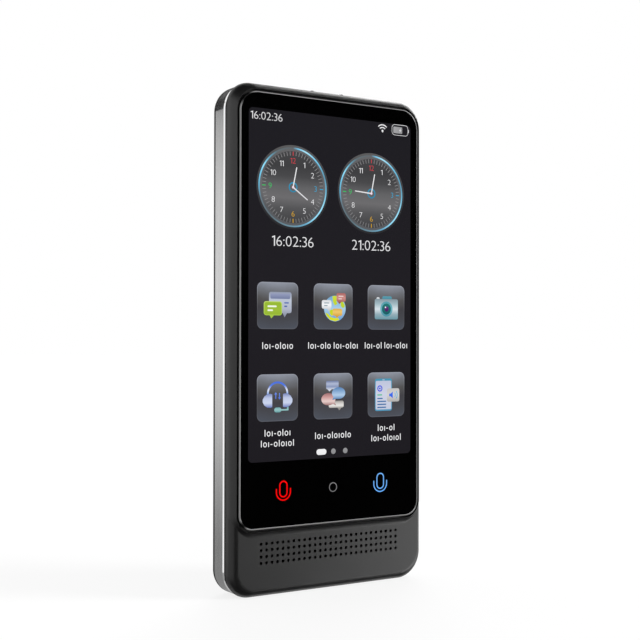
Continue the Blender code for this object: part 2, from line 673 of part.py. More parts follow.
def volume_slot(name, height, slot_half):
    """The slot of a side key, through the frame's right wall."""
    half_length = VOLUME_KEY_LENGTH / 2 + SIDE_GAP
    points = rounded(slot_half, -half_length, half_length, KEY_ROUNDING, KEY_ROUNDING, steps=4)
    rings = []
    for x in (HALF_WIDTH - FRAME_WALL - CUT_OVERRUN, HALF_WIDTH + CUT_OVERRUN):
        rings.append([(x, KEY_DEPTH + y, height + z) for y, z in points])
    return loft(name, rings)


def back_cover():
    plastic = finish("cover_plastic", (0.018, 0.018, 0.019), 0.5)
    rings = [body_ring(0.0, COVER_FRONT)]
    for step in range(COVER_FILLET_STEPS + 1):
        turn = radians(90 * step / COVER_FILLET_STEPS)
        inset = COVER_FILLET * (1 - cos(turn))
        rings.append(body_ring(inset, BODY_DEPTH - COVER_FILLET * (1 - sin(turn))))
    cover = loft("back_cover", rings, plastic)
    hollow = [body_ring(COVER_WALL, COVER_FRONT - CUT_OVERRUN), body_ring(COVER_WALL, COVER_INNER)]
    cut(cover, loft("cover_cutter", hollow))

    lip_outer = FRAME_WALL + SIDE_GAP
    lip_inner = lip_outer + COVER_LIP_WIDTH
    lip_front = COVER_FRONT - COVER_LIP_HEIGHT
    lip_back = COVER_INNER + COVER_PLATE / 2
    lip = ((lip_outer, lip_front), (lip_outer, lip_back), (lip_inner, lip_back), (lip_inner, lip_front))
    lip_ring = loft("lip_guide", [body_ring(*point) for point in lip], closed=True)
    relief_high = lip_inner + CUT_OVERRUN
    relief_size = (SOCKET_WIDTH + 2 * SIDE_GAP, relief_high - FRAME_WALL)
    relief_depths = (lip_front - CUT_OVERRUN, KEY_DEPTH + SOCKET_THICKNESS / 2 + LIP_RELIEF)
    middle = (FRAME_WALL + relief_high) / 2
    cut(lip_ring, plate("relief_cutter", None, 0.0, middle, *relief_size, *relief_depths))
    join(cover, lip_ring)

    place = (CAMERA_SIDE, CAMERA_HEIGHT)
    neck = CAMERA_RING_NECK + SIDE_GAP
    seat = CAMERA_RING_RADIUS + SIDE_GAP
    seat_depth = BODY_DEPTH - CAMERA_RING_FLANGE - SEAT_GAP
    behind = BODY_DEPTH + CUT_OVERRUN
    cut(cover, rod("camera_neck_cutter", *place, neck, COVER_INNER - CUT_OVERRUN, behind))
    cut(cover, rod("camera_seat_cutter", *place, seat, seat_depth, behind))
    flash = FLASH_LENS_RADIUS + SIDE_GAP
    front = COVER_INNER - CUT_OVERRUN
    cut(cover, rod("flash_cutter", CAMERA_SIDE, FLASH_HEIGHT, flash, front, behind, SCREW_SIDES))


# Front stack

def cover_glass():
    glass = finish("cover_glass", (0.01, 0.01, 0.011), 0.05)
    rings = [pocket_ring(SIDE_GAP + GLASS_BEVEL_WIDTH, 0.0)]
    rings.append(pocket_ring(SIDE_GAP, GLASS_BEVEL_DEPTH))
    rings.append(pocket_ring(SIDE_GAP, GLASS_THICKNESS))
    loft("cover_glass", rings, glass)

    tape = finish("adhesive_tape", (0.03, 0.03, 0.03), 0.8)
    front = GLASS_THICKNESS + SEAT_GAP
    back = front + ADHESIVE_THICKNESS
    outer = SIDE_GAP + ADHESIVE_MARGIN
    inner = outer + ADHESIVE_WIDTH
    rings = [pocket_ring(outer, front), pocket_ring(outer, back)]
    rings += [pocket_ring(inner, back), pocket_ring(inner, front)]
    loft("glass_adhesive", rings, tape, closed=True)


def display():
    panel = finish("display_panel", (0.02, 0.02, 0.025), 0.2)
    width = 2 * (HALF_WIDTH - POCKET_INSET - LEDGE_WIDTH - SIDE_GAP)
    middle = (DISPLAY_LOW + DISPLAY_HIGH) / 2
    length = DISPLAY_HIGH - DISPLAY_LOW
    back = DISPLAY_DEPTH + DISPLAY_THICKNESS
    plate("display_panel", panel, 0.0, middle, width, length, DISPLAY_DEPTH, back, DISPLAY_RADIUS)

    flex_depth = SUB_BOARD_DEPTH - SEAT_GAP - FLEX_THICKNESS / 2
    route = (
        (DISPLAY_FLEX_FRONT, DISPLAY_FLEX_HEIGHT),
        (flex_depth, DISPLAY_FLEX_HEIGHT),
        (flex_depth, DISPLAY_FLEX_END),
    )
    film = finish("flex_film", (0.16, 0.07, 0.02), 0.4)
    ribbon("display_flex", film, DISPLAY_FLEX_SIDE, DISPLAY_FLEX_WIDTH, route)


def touch_keys():
    board = finish("board_black", (0.015, 0.03, 0.02), 0.5)
    board_back = MIDFRAME_DEPTH - SEAT_GAP
    board_front = board_back - KEY_BOARD_THICKNESS
    size = (KEY_BOARD_WIDTH, KEY_BOARD_HEIGHT)
    plate("touch_key_board", board, 0.0, KEY_HEIGHT, *size, board_front, board_back, BOARD_CORNER)
    lamp = finish("led_package", (0.7, 0.68, 0.5), 0.35)
    light_back = board_front - SEAT_GAP
    light_front = light_back - KEY_LIGHT_THICKNESS
    light = (KEY_HEIGHT, KEY_LIGHT_WIDTH, KEY_LIGHT_HEIGHT, light_front, light_back)
    for name, side in (("left", -KEY_SIDE), ("middle", 0.0), ("right", KEY_SIDE)):
        plate(f"key_light_{name}", lamp, side, *light)

    flex_depth = SUB_BOARD_DEPTH - SEAT_GAP - FLEX_THICKNESS / 2
    route = (
        (KEY_FLEX_FRONT, KEY_FLEX_HEIGHT),
        (flex_depth, KEY_FLEX_HEIGHT),
        (flex_depth, KEY_FLEX_END),
    )
    film = finish("flex_film", (0.16, 0.07, 0.02), 0.4)
    ribbon("touch_key_flex", film, KEY_FLEX_SIDE, KEY_FLEX_WIDTH, route)


def midframe():
    metal = finish("midframe_alloy", (0.42, 0.42, 0.43), 0.45, 1.0)
    inset = FRAME_WALL + SIDE_GAP
    rings = [body_ring(inset, MIDFRAME_DEPTH), body_ring(inset, MIDFRAME_BACK)]
    sheet = loft("midframe", rings, metal)
    standoff_back = SUB_BOARD_DEPTH - SEAT_GAP
    standoff_front = MIDFRAME_DEPTH + MIDFRAME_THICKNESS / 2
    for index, (side, height) in enumerate(SUB_SCREW_PLACES):
        name = f"standoff_{index + 1}_guide"
        join(sheet, rod(name, side, height, STANDOFF_RADIUS, standoff_front, standoff_back, SCREW_SIDES))

    front = MIDFRAME_DEPTH - CUT_OVERRUN
    back = MIDFRAME_BACK + CUT_OVERRUN
    width = MESH_WIDTH + 2 * SPEAKER_CUT_MARGIN
    length = SPEAKER_HEIGHT + 2 * SPEAKER_CUT_MARGIN
    middle = SPEAKER_LOW + SPEAKER_HEIGHT / 2
    cut(sheet, plate("speaker_cutter", None, 0.0, middle, width, length, front, back, SPEAKER_ROUNDING))
    slot = 2 * FLEX_SLOT_MARGIN
    for name, side, height, run in (
        ("display", DISPLAY_FLEX_SIDE, DISPLAY_FLEX_HEIGHT, DISPLAY_FLEX_WIDTH),
        ("key", KEY_FLEX_SIDE, KEY_FLEX_HEIGHT, KEY_FLEX_WIDTH),
    ):
        opening = (side, height, run + slot, FLEX_THICKNESS + slot, front, back)
        cut(sheet, plate(f"{name}_flex_cutter", None, *opening))
    places = MAIN_SCREW_PLACES + SUB_SCREW_PLACES + LUG_PLACES
    for index, (side, height) in enumerate(places):
        name = f"midframe_hole_{index + 1}_cutter"
        cut(sheet, screw_hole(name, side, height, MIDFRAME_DEPTH, standoff_back))


# Battery

def battery():
    foil = finish("battery_foil", (0.09, 0.09, 0.1), 0.5)
    front = BATTERY_FRONT
    half = BATTERY_WIDTH / 2
    rings = []
    for inset, depth in (
        (BATTERY_ROUNDING, front),
        (0.0, front + BATTERY_ROUNDING),
        (0.0, front + BATTERY_THICKNESS - BATTERY_ROUNDING),
        (BATTERY_ROUNDING, front + BATTERY_THICKNESS),
    ):
        radius = 2 * BATTERY_ROUNDING - inset
        low, high = BATTERY_LOW + inset, BATTERY_HIGH - inset
        points = rounded(half - inset, low, high, radius, radius, steps=2)
        rings.append(at_depth(points, depth, BATTERY_SIDE))
    loft("battery", rings, foil)

    board = finish("board_green", (0.01, 0.07, 0.03), 0.45)
    low = BATTERY_HIGH + SIDE_GAP
    middle = low + CELL_BOARD_HEIGHT / 2
    thickness = BATTERY_THICKNESS * CELL_BOARD_SHARE
    board_front = front + (BATTERY_THICKNESS - thickness) / 2
    board_back = board_front + thickness
    size = (BATTERY_WIDTH - 2 * CELL_BOARD_INSET, CELL_BOARD_HEIGHT)
    plate("battery_protection_board", board, BATTERY_SIDE, middle, *size, board_front, board_back)

    over = board_back + SEAT_GAP + FLEX_THICKNESS / 2
    onto = MAIN_BOARD_BACK + SEAT_GAP + FLEX_THICKNESS / 2
    bend = MAIN_BOARD_LOW + CELL_BOARD_HEIGHT / 2
    film = finish("flex_film", (0.16, 0.07, 0.02), 0.4)
    end = MAIN_BOARD_LOW + CELL_FLEX_REACH
    route = ((over, middle), (over, low + CELL_BOARD_HEIGHT), (onto, bend), (onto, end))
    ribbon("battery_flex", film, CELL_FLEX_SIDE, CELL_FLEX_WIDTH, route)


# Main board

def can(name, chip_names, side, height, width, length):
    """A shield that is open towards the board, over the chips named with their sizes."""
    tin = finish("shield_tin", (0.5, 0.5, 0.48), 0.35, 1.0)
    black = finish("chip_black", (0.02, 0.02, 0.02), 0.4)
    back = ON_BOARD + CAN_HEIGHT
    shield = plate(name, tin, side, height, width, length, ON_BOARD, back, BOARD_CORNER / 2)
    inner = (width - 2 * CAN_WALL, length - 2 * CAN_WALL, ON_BOARD - CUT_OVERRUN, back - CAN_WALL)
    cut(shield, plate(f"{name}_cutter", None, side, height, *inner))
    for chip, chip_side, chip_width, chip_length in chip_names:
        size = (chip_width, chip_length, ON_BOARD, ON_BOARD + CHIP_THICKNESS)
        plate(chip, black, chip_side, height, *size)


def main_board():
    green = finish("board_green", (0.01, 0.07, 0.03), 0.45)
    middle = (MAIN_BOARD_LOW + MAIN_BOARD_HIGH) / 2
    size = (MAIN_BOARD_WIDTH, MAIN_BOARD_HIGH - MAIN_BOARD_LOW)
    depths = (MAIN_BOARD_DEPTH, MAIN_BOARD_BACK)
    board = plate("main_board", green, 0.0, middle, *size, *depths, BOARD_CORNER)
    for index, place in enumerate(MAIN_SCREW_PLACES):
        cut(board, screw_hole(f"main_hole_{index + 1}_cutter", *place, *depths))

    room = PROCESSOR_CAN_WIDTH - 2 * CAN_WALL - PROCESSOR_SIZE - MEMORY_WIDTH
    left = PROCESSOR_CAN_SIDE - PROCESSOR_CAN_WIDTH / 2 + CAN_WALL
    processor_side = left + room / 3 + PROCESSOR_SIZE / 2
    memory_side = processor_side + PROCESSOR_SIZE / 2 + room / 3 + MEMORY_WIDTH / 2
    chips = (
        ("processor", processor_side, PROCESSOR_SIZE, PROCESSOR_SIZE),
        ("memory_chip", memory_side, MEMORY_WIDTH, PROCESSOR_SIZE),
    )
    place = (PROCESSOR_CAN_SIDE, PROCESSOR_CAN_HEIGHT)
    can("processor_shield", chips, *place, PROCESSOR_CAN_WIDTH, PROCESSOR_CAN_LENGTH)
    chips = (("radio_chip", RADIO_CAN_SIDE, RADIO_CHIP_SIZE, RADIO_CHIP_SIZE),)
    place = (RADIO_CAN_SIDE, RADIO_CAN_HEIGHT)
    can("radio_shield", chips, *place, RADIO_CAN_WIDTH, RADIO_CAN_LENGTH)


def camera():
    black = finish("camera_black", (0.02, 0.02, 0.022), 0.35)
    base_back = ON_BOARD + CAMERA_BASE_THICKNESS
    half_base = (CAMERA_BASE, CAMERA_BASE, ON_BOARD, base_back, BOARD_CORNER)
    module = plate("camera_module", black, CAMERA_SIDE, CAMERA_HEIGHT, *half_base)
    place = (CAMERA_SIDE, CAMERA_HEIGHT)
    inside = base_back - CAMERA_BASE_THICKNESS / 2
    join(module, rod("barrel_guide", *place, CAMERA_BARREL_RADIUS, inside, CAMERA_BACK))

    metal = finish("camera_ring_metal", (0.3, 0.3, 0.31), 0.25, 1.0)
    flange = BODY_DEPTH - CAMERA_RING_FLANGE
    window_seat = CAMERA_WINDOW_RADIUS + SIDE_GAP
    seat_depth = BODY_DEPTH - CAMERA_WINDOW_THICKNESS - 2 * SEAT_GAP
    profile = (
        (CAMERA_RING_BORE, CAMERA_BACK + SEAT_GAP),
        (CAMERA_RING_NECK, CAMERA_BACK + SEAT_GAP),
        (CAMERA_RING_NECK, flange),
        (CAMERA_RING_RADIUS, flange),
        (CAMERA_RING_RADIUS, BODY_DEPTH),
        (window_seat, BODY_DEPTH),
        (window_seat, seat_depth),
        (CAMERA_RING_BORE, seat_depth),
    )
    turned("camera_ring", metal, *place, profile, ring=True)
    glass = finish("camera_glass", (0.01, 0.01, 0.012), 0.05)
    window_front = seat_depth + SEAT_GAP
    window_back = window_front + CAMERA_WINDOW_THICKNESS
    rod("camera_window", *place, CAMERA_WINDOW_RADIUS, window_front, window_back, material=glass)


def flash():
    lamp = finish("led_package", (0.7, 0.68, 0.5), 0.35)
    back = ON_BOARD + FLASH_THICKNESS
    plate("flash_light", lamp, CAMERA_SIDE, FLASH_HEIGHT, FLASH_SIZE, FLASH_SIZE, ON_BOARD, back)
    clear = finish("flash_lens", (0.75, 0.75, 0.7), 0.2)
    flange_back = COVER_INNER - SEAT_GAP
    flange_front = flange_back - FLASH_FLANGE_THICKNESS
    profile = (
        (FLASH_LENS_RADIUS, back + SEAT_GAP),
        (FLASH_LENS_RADIUS, flange_front),
        (FLASH_FLANGE_RADIUS, flange_front),
        (FLASH_FLANGE_RADIUS, flange_back),
        (FLASH_LENS_RADIUS, flange_back),
        (FLASH_LENS_RADIUS, BODY_DEPTH),
    )
    turned("flash_lens", clear, CAMERA_SIDE, FLASH_HEIGHT, profile, SCREW_SIDES)


def antenna():
    film = finish("antenna_film", (0.5, 0.3, 0.12), 0.35, 0.6)
    back = COVER_INNER - SEAT_GAP
    size = (ANTENNA_WIDTH, ANTENNA_LENGTH, back - ANTENNA_THICKNESS, back, BOARD_CORNER)
    plate("wifi_antenna", film, ANTENNA_SIDE, ANTENNA_HEIGHT, *size)


# Microphones

def low_mic_depth():
    return SUB_BOARD_DEPTH - SEAT_GAP - BOOT_THICKNESS / 2


def microphone(name, side, depth, mic_low, boot_low, boot_high):
    """A microphone and the rubber boot that leads from the frame's port to it."""
    tin = finish("mic_can", (0.55, 0.5, 0.35), 0.35, 1.0)
    rubber = finish("boot_rubber", (0.03, 0.03, 0.03), 0.85)
    half = MIC_THICKNESS / 2
    middle = mic_low + MIC_LENGTH / 2
    plate(name, tin, side, middle, MIC_WIDTH, MIC_LENGTH, depth - half, depth + half)
    half = BOOT_THICKNESS / 2
    middle = (boot_low + boot_high) / 2
    size = (BOOT_WIDTH, boot_high - boot_low, depth - half, depth + half)
    boot = plate(f"{name}_boot", rubber, side, middle, *size)
    port = (side, depth, MIC_PORT_RADIUS, MIC_PORT_RADIUS, MIC_PORT_RADIUS * 0.9)
    span = (boot_low - CUT_OVERRUN, boot_high + CUT_OVERRUN)
    cut(boot, upright_tube(f"{name}_boot_cutter", None, *port, *span))


def microphones():
    boot_high = BODY_HEIGHT - FRAME_WALL - SIDE_GAP
    boot_low = MAIN_BOARD_HIGH + SIDE_GAP
    mic_low = boot_low - SIDE_GAP - MIC_LENGTH
    depth = ON_BOARD + BOOT_THICKNESS / 2
    microphone("top_microphone", TOP_MIC_SIDE, depth, mic_low, boot_low, boot_high)
    boot_low = FRAME_WALL + SIDE_GAP
    boot_high = boot_low + LOW_BOOT_LENGTH
    mic_low = boot_high + SIDE_GAP
    microphone("low_microphone", LOW_MIC_SIDE, low_mic_depth(), mic_low, boot_low, boot_high)


# Keys and their switches

def key_profile(half_length, rise, dish_rise):
    """Outline of a key from its nub to its top, with heights from the frame's outer face."""
    flange_half = half_length + KEY_FLANGE_OVERLAP
    flange_top = -FRAME_WALL - SIDE_GAP
    flange_low = flange_top - KEY_FLANGE_THICKNESS
    nub_low = flange_low - KEY_NUB_HEIGHT
    nub_half = KEY_NUB_WIDTH / 2
    right = [(nub_half, nub_low), (nub_half, flange_low), (flange_half, flange_low)]
    right += [(flange_half, flange_top), (half_length, flange_top)]
    right.append((half_length, rise - KEY_ROUNDING))
    top = []
    shoulder = half_length - KEY_ROUNDING / 2
    for step in range(POWER_KEY_STEPS + 1):
        share = 1 - 2 * step / POWER_KEY_STEPS
        top.append((shoulder * share, dish_rise + (rise - dish_rise) * share * share))
    left = [(-along, height) for along, height in reversed(right)]
    return right + top + left


def power_key():
    metal = finish("key_metal", (0.6, 0.6, 0.61), 0.3, 1.0)
    points = key_profile(POWER_KEY_LENGTH / 2, POWER_KEY_RISE, POWER_KEY_DISH_RISE)
    rings = []
    for depth in (KEY_DEPTH - KEY_BODY / 2, KEY_DEPTH + KEY_BODY / 2):
        rings.append([(POWER_KEY_SIDE + x, depth, BODY_HEIGHT + z) for x, z in points])
    loft("power_button", rings, metal, place=(POWER_KEY_SIDE, KEY_DEPTH, BODY_HEIGHT))


def volume_key(name, height):
    metal = finish("key_metal", (0.6, 0.6, 0.61), 0.3, 1.0)
    points = key_profile(VOLUME_KEY_LENGTH / 2, VOLUME_KEY_RISE, VOLUME_KEY_RISE)
    rings = []
    for depth in (KEY_DEPTH - KEY_BODY / 2, KEY_DEPTH + KEY_BODY / 2):
        rings.append([(HALF_WIDTH + rise, depth, height + along) for along, rise in points])
    loft(name, rings, metal, place=(HALF_WIDTH, KEY_DEPTH, height))


def switch_profile(top):
    """Outline of a switch: its body, and the plunger whose top the key's nub stops short of."""
    body_half = SWITCH_WIDTH / 2
    nub_half = KEY_NUB_WIDTH / 2
    shoulder = top - SWITCH_PLUNGER
    low = shoulder - SWITCH_BODY
    right = [(body_half, low), (body_half, shoulder), (nub_half, shoulder), (nub_half, top)]
    return right + [(-along, level) for along, level in reversed(right)]


def switches():
    steel = finish("switch_steel", (0.45, 0.45, 0.46), 0.35, 1.0)
    top = BODY_HEIGHT - FRAME_WALL - KEY_STACK
    points = [(POWER_KEY_SIDE + along, level) for along, level in switch_profile(top)]
    loft("power_switch", [at_depth(points, SWITCH_FRONT), at_depth(points, SWITCH_BACK)], steel)
    face = HALF_WIDTH - FRAME_WALL - KEY_STACK
    for name, height in (("up", VOLUME_UP_HEIGHT), ("down", VOLUME_DOWN_HEIGHT)):
        points = [(level, height + along) for along, level in switch_profile(face)]
        rings = [at_depth(points, SWITCH_FRONT), at_depth(points, SWITCH_BACK)]
        loft(f"volume_{name}_switch", rings, steel)

    bracket_right = face - SWITCH_PLUNGER - SWITCH_BODY - SEAT_GAP
    side = bracket_right - KEY_BRACKET_THICKNESS / 2
    middle = (VOLUME_UP_HEIGHT + VOLUME_DOWN_HEIGHT) / 2
    length = VOLUME_UP_HEIGHT - VOLUME_DOWN_HEIGHT + 2 * KEY_BRACKET_MARGIN
    bracket_front = MIDFRAME_BACK + SEAT_GAP
    depths = (bracket_front, SWITCH_BACK + KEY_BRACKET_OVERHANG)
    plate("side_key_bracket", steel, side, middle, KEY_BRACKET_THICKNESS, length, *depths)


# Lower board and sound

def sub_board():
    green = finish("board_green", (0.01, 0.07, 0.03), 0.45)
    middle = (SUB_BOARD_LOW + SUB_BOARD_HIGH) / 2
    size = (SUB_BOARD_WIDTH, SUB_BOARD_HIGH - SUB_BOARD_LOW)
    depths = (SUB_BOARD_DEPTH, SUB_BOARD_BACK)
    board = plate("lower_board", green, 0.0, middle, *size, *depths, BOARD_CORNER)
    notch_high = SOCKET_TOP + SIDE_GAP
    notch_size = (SOCKET_WIDTH + 2 * SIDE_GAP, notch_high)
    notch_depths = (SUB_BOARD_DEPTH - CUT_OVERRUN, SUB_BOARD_BACK + CUT_OVERRUN)
    cut(board, plate("notch_cutter", None, 0.0, notch_high / 2, *notch_size, *notch_depths))
    for index, place in enumerate(SUB_SCREW_PLACES):
        cut(board, screw_hole(f"lower_hole_{index + 1}_cutter", *place, *depths))

    steel = finish("motor_steel", (0.4, 0.4, 0.41), 0.35, 1.0)
    back = SUB_BOARD_DEPTH - SEAT_GAP
    front = MIDFRAME_BACK + MOTOR_GAP
    rod("vibration_motor", MOTOR_SIDE, LOWER_ROW_HEIGHT, MOTOR_RADIUS, front, back, material=steel)


def usb_receptacle():
    steel = finish("socket_steel", (0.5, 0.5, 0.51), 0.3, 1.0)
    half = (SOCKET_WIDTH / 2, SOCKET_THICKNESS / 2, SOCKET_RADIUS)
    shell = upright_tube("usb_receptacle", steel, 0.0, KEY_DEPTH, *half, SOCKET_RECESS, SOCKET_TOP)
    bore = tuple(value - SOCKET_WALL for value in half)
    span = (SOCKET_RECESS - CUT_OVERRUN, SOCKET_TOP - SOCKET_WALL)
    cut(shell, upright_tube("socket_bore_cutter", None, 0.0, KEY_DEPTH, *bore, *span))
    low = SOCKET_TOP - SOCKET_WALL - SOCKET_TONGUE_LENGTH
    high = SOCKET_TOP - SOCKET_WALL / 2
    front = KEY_DEPTH - SOCKET_TONGUE_THICKNESS / 2
    back = KEY_DEPTH + SOCKET_TONGUE_THICKNESS / 2
    size = (SOCKET_TONGUE_WIDTH, high - low, front, back)
    join(shell, plate("tongue_guide", None, 0.0, (low + high) / 2, *size))


def speaker():
    weave = finish("speaker_mesh", (0.04, 0.04, 0.04), 0.6)
    size = (MESH_WIDTH, MESH_HEIGHT, MESH_DEPTH, MESH_DEPTH + MESH_THICKNESS, SPEAKER_ROUNDING)
    plate("speaker_mesh", weave, 0.0, GRILLE_HEIGHT, *size)

    foam = finish("gasket_foam", (0.03, 0.03, 0.03), 0.9)
    outer = ring_points(MESH_WIDTH / 2, MESH_HEIGHT / 2)
    inner = ring_points(MESH_WIDTH / 2 - GASKET_BORDER, MESH_HEIGHT / 2 - GASKET_BORDER)
    back = GASKET_DEPTH + GASKET_THICKNESS
    rings = [at_depth(outer, GASKET_DEPTH), at_depth(outer, back)]
    rings += [at_depth(inner, back), at_depth(inner, GASKET_DEPTH)]
    loft("speaker_gasket", rings, foam, closed=True)

    case = finish("speaker_case", (0.04, 0.04, 0.045), 0.5)
    middle = SPEAKER_LOW + SPEAKER_HEIGHT / 2
    size = (MESH_WIDTH, SPEAKER_HEIGHT, SPEAKER_DEPTH, SUB_BOARD_DEPTH - SEAT_GAP, SPEAKER_ROUNDING)
    plate("speaker_box", case, 0.0, middle, *size)


def ring_points(half_width, half_height):
    low = GRILLE_HEIGHT - half_height
    high = GRILLE_HEIGHT + half_height
    radius = SPEAKER_ROUNDING / 2
    return rounded(half_width, low, high, radius, radius, steps=2)


def main_flex():
    film = finish("flex_film", (0.16, 0.07, 0.02), 0.4)
    upper = MAIN_BOARD_BACK + SEAT_GAP + FLEX_THICKNESS / 2
    lower = SUB_BOARD_DEPTH - SEAT_GAP - FLEX_THICKNESS / 2
    bend = MAIN_FLEX_BEND - (lower - upper)
    route = ((upper, MAIN_FLEX_HIGH), (upper, MAIN_FLEX_BEND), (lower, bend), (lower, MAIN_FLEX_LOW))
    ribbon("main_flex", film, MAIN_FLEX_SIDE, MAIN_FLEX_WIDTH, route)


def screws():
    tip = MIDFRAME_DEPTH + SEAT_GAP
    for index, place in enumerate(LUG_PLACES):
        screw(f"frame_screw_{index + 1}", place, LUG_BACK + SEAT_GAP, tip)
    for index, place in enumerate(MAIN_SCREW_PLACES):
        screw(f"main_board_screw_{index + 1}", place, ON_BOARD, tip)
    for index, place in enumerate(SUB_SCREW_PLACES):
        screw(f"lower_board_screw_{index + 1}", place, SUB_BOARD_BACK + SEAT_GAP, tip)


def build():
    clear_scene()
    front_housing()
    metal_frame()
    back_cover()
    cover_glass()
    display()
    touch_keys()
    midframe()
    battery()
    main_board()
    camera()
    flash()
    antenna()
    microphones()
    power_key()
    volume_key("volume_up_button", VOLUME_UP_HEIGHT)
    volume_key("volume_down_button", VOLUME_DOWN_HEIGHT)
    switches()
    sub_board()
    usb_receptacle()
    speaker()
    main_flex()
    screws()


build()
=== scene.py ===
import json
import math

import bmesh
import bpy
from mathutils import Matrix, Vector

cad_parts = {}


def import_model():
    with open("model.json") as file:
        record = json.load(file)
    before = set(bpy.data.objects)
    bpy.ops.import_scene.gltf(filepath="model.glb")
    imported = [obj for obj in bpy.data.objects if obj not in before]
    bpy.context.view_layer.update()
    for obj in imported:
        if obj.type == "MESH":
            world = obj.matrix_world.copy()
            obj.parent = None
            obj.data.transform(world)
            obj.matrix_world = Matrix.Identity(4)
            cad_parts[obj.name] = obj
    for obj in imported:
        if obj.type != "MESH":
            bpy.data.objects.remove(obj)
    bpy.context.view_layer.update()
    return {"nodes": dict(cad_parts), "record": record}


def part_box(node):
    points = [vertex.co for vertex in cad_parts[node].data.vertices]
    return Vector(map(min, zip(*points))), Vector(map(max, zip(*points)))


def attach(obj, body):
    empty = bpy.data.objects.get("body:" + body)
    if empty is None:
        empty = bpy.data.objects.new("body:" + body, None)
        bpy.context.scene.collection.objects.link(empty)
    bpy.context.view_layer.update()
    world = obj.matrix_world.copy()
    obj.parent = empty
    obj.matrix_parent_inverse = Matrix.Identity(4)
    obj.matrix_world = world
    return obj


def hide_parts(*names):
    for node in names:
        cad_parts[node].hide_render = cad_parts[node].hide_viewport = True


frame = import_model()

# Sizes are in millimetres here. Depth runs from the glass face towards the back cover.
mm = 0.001
body = dict(width=59.8, height=130.9, depth=11.7, corner=6.6, topCorner=7.1)
halfWidth = body["width"] / 2
over = 1.0  # how far a cutter reaches past the face that it opens
scene = bpy.context.scene
scene.view_settings.view_transform = "Standard"


# Colours and shader nodes

def linear(red, green, blue):
    # a screen colour from 0 to 255, as the shader wants it
    parts = [part / 255 for part in (red, green, blue)]
    return (*(part / 12.92 if part <= 0.04045 else ((part + 0.055) / 1.055) ** 2.4 for part in parts), 1.0)


def grey(value):
    return (value, value, value, 1.0)


def tinted(colour, share=1.0):
    return (*(part * share for part in colour), 1.0)


class Socket:
    # An output that can be used in sums: each operator adds the node it needs
    def __init__(self, finish, link):
        self.finish = finish
        self.link = link

    def sum(self, operation, first, second):
        kind, pair = "Math", [first, second]
        if any(isinstance(item, Socket) and item.link.type == "VECTOR" for item in pair):
            kind = "VectorMath"
            pair = [(item,) * 3 if isinstance(item, (int, float)) else item for item in pair]
        return self.finish.node(kind, {"operation": operation}, dict(enumerate(pair)))

    def __add__(self, other):
        return self.sum("ADD", self, other)

    def __radd__(self, other):
        return self.sum("ADD", other, self)

    def __sub__(self, other):
        return self.sum("SUBTRACT", self, other)

    def __rsub__(self, other):
        return self.sum("SUBTRACT", other, self)

    def __mul__(self, other):
        return self.sum("MULTIPLY", self, other)

    def __rmul__(self, other):
        return self.sum("MULTIPLY", other, self)


class Finish:
    # One material, or the world, built from the nodes that its sums and textures add
    def __init__(self, name, owner=None):
        self.owner = owner or bpy.data.materials.new(name)
        self.owner.use_nodes = True
        self.tree = self.owner.node_tree
        self.tree.nodes.clear()

    def node(self, kind, settings=None, inputs=None, out=0):
        made = self.tree.nodes.new("ShaderNode" + kind)
        for name, value in (settings or {}).items():
            if name != "stops":
                setattr(made, name, value)
                continue
            ramp = made.color_ramp
            while len(ramp.elements) < len(value):
                ramp.elements.new(0.5)
            for element, (place, colour) in zip(ramp.elements, value):
                element.position = place
                element.color = colour
        for name, value in (inputs or {}).items():
            if isinstance(value, Socket):
                self.tree.links.new(value.link, made.inputs[name])
            else:
                made.inputs[name].default_value = value
        return Socket(self, made.outputs[out]) if made.outputs else None

    def place(self):
        # the point on the piece, in millimetres from its origin
        return self.node("TexCoord", out="Object") * 1000.0

    def axes(self, wanted):
        # any of x, d for the depth, and z
        place = {0: self.place()}
        return [self.node("SeparateXYZ", inputs=place, out="xdz".index(axis)) for axis in wanted]

    def radius(self, centre):
        # the distance from an axis that runs front to back
        x, z = self.axes("xz")
        across, up = x - centre[0], z - centre[1]
        return self.node("Math", {"operation": "SQRT"}, {0: across * across + up * up})

    def waves(self, value, pitch):
        return self.node("Math", {"operation": "SINE"}, {0: value * (2 * math.pi / pitch)})

    def noise(self, size, stretch=(1, 1, 1), detail=2.0):
        # soft blotches about as wide as size, drawn out along an axis where stretch is large
        place = self.place() * tuple(1 / (size * part) for part in stretch)
        return self.node("TexNoise", inputs={"Vector": place, "Scale": 1.0, "Detail": detail})

    def cells(self, size):
        return self.node("TexVoronoi", inputs={"Vector": self.place() * (1 / size), "Scale": 1.0})

    def ramp(self, value, stops):
        return self.node("ValToRGB", {"stops": stops}, {0: value})

    def mix(self, share, first, second):
        return self.node("Mix", {"data_type": "RGBA"}, {0: share, 6: first, 7: second}, out=2)

    def limit(self, value, low, high, newLow=0.0, newHigh=1.0):
        inputs = {0: value, 1: low, 2: high, 3: newLow, 4: newHigh}
        return self.node("MapRange", {"clamp": True}, inputs)

    def shade(self, colour, rough, more=None, height=None, lift=0.01, strength=1.0):
        inputs = {"Base Color": colour, "Roughness": rough, **(more or {})}
        if height is not None:
            bump = {"Height": height, "Distance": lift * mm, "Strength": strength}
            inputs["Normal"] = self.node("Bump", inputs=bump)
        return self.surface(self.node("BsdfPrincipled", inputs=inputs))

    def glow(self, colour):
        # a lit area under the glass
        return self.shade(grey(0.002), 0.03, {"Emission Color": colour, "Emission Strength": 1.0})

    def surface(self, shader, kind="Material"):
        self.node("Output" + kind, inputs={"Surface": shader})
        return self.owner


# Meshes

def between(first, second, share):
    return first - (first - second) * share


def oval(x, z, wide, tall, sides):
    turns = [2 * math.pi * side / sides for side in range(sides)]
    return [(x + wide * math.cos(turn), z + tall * math.sin(turn)) for turn in turns]


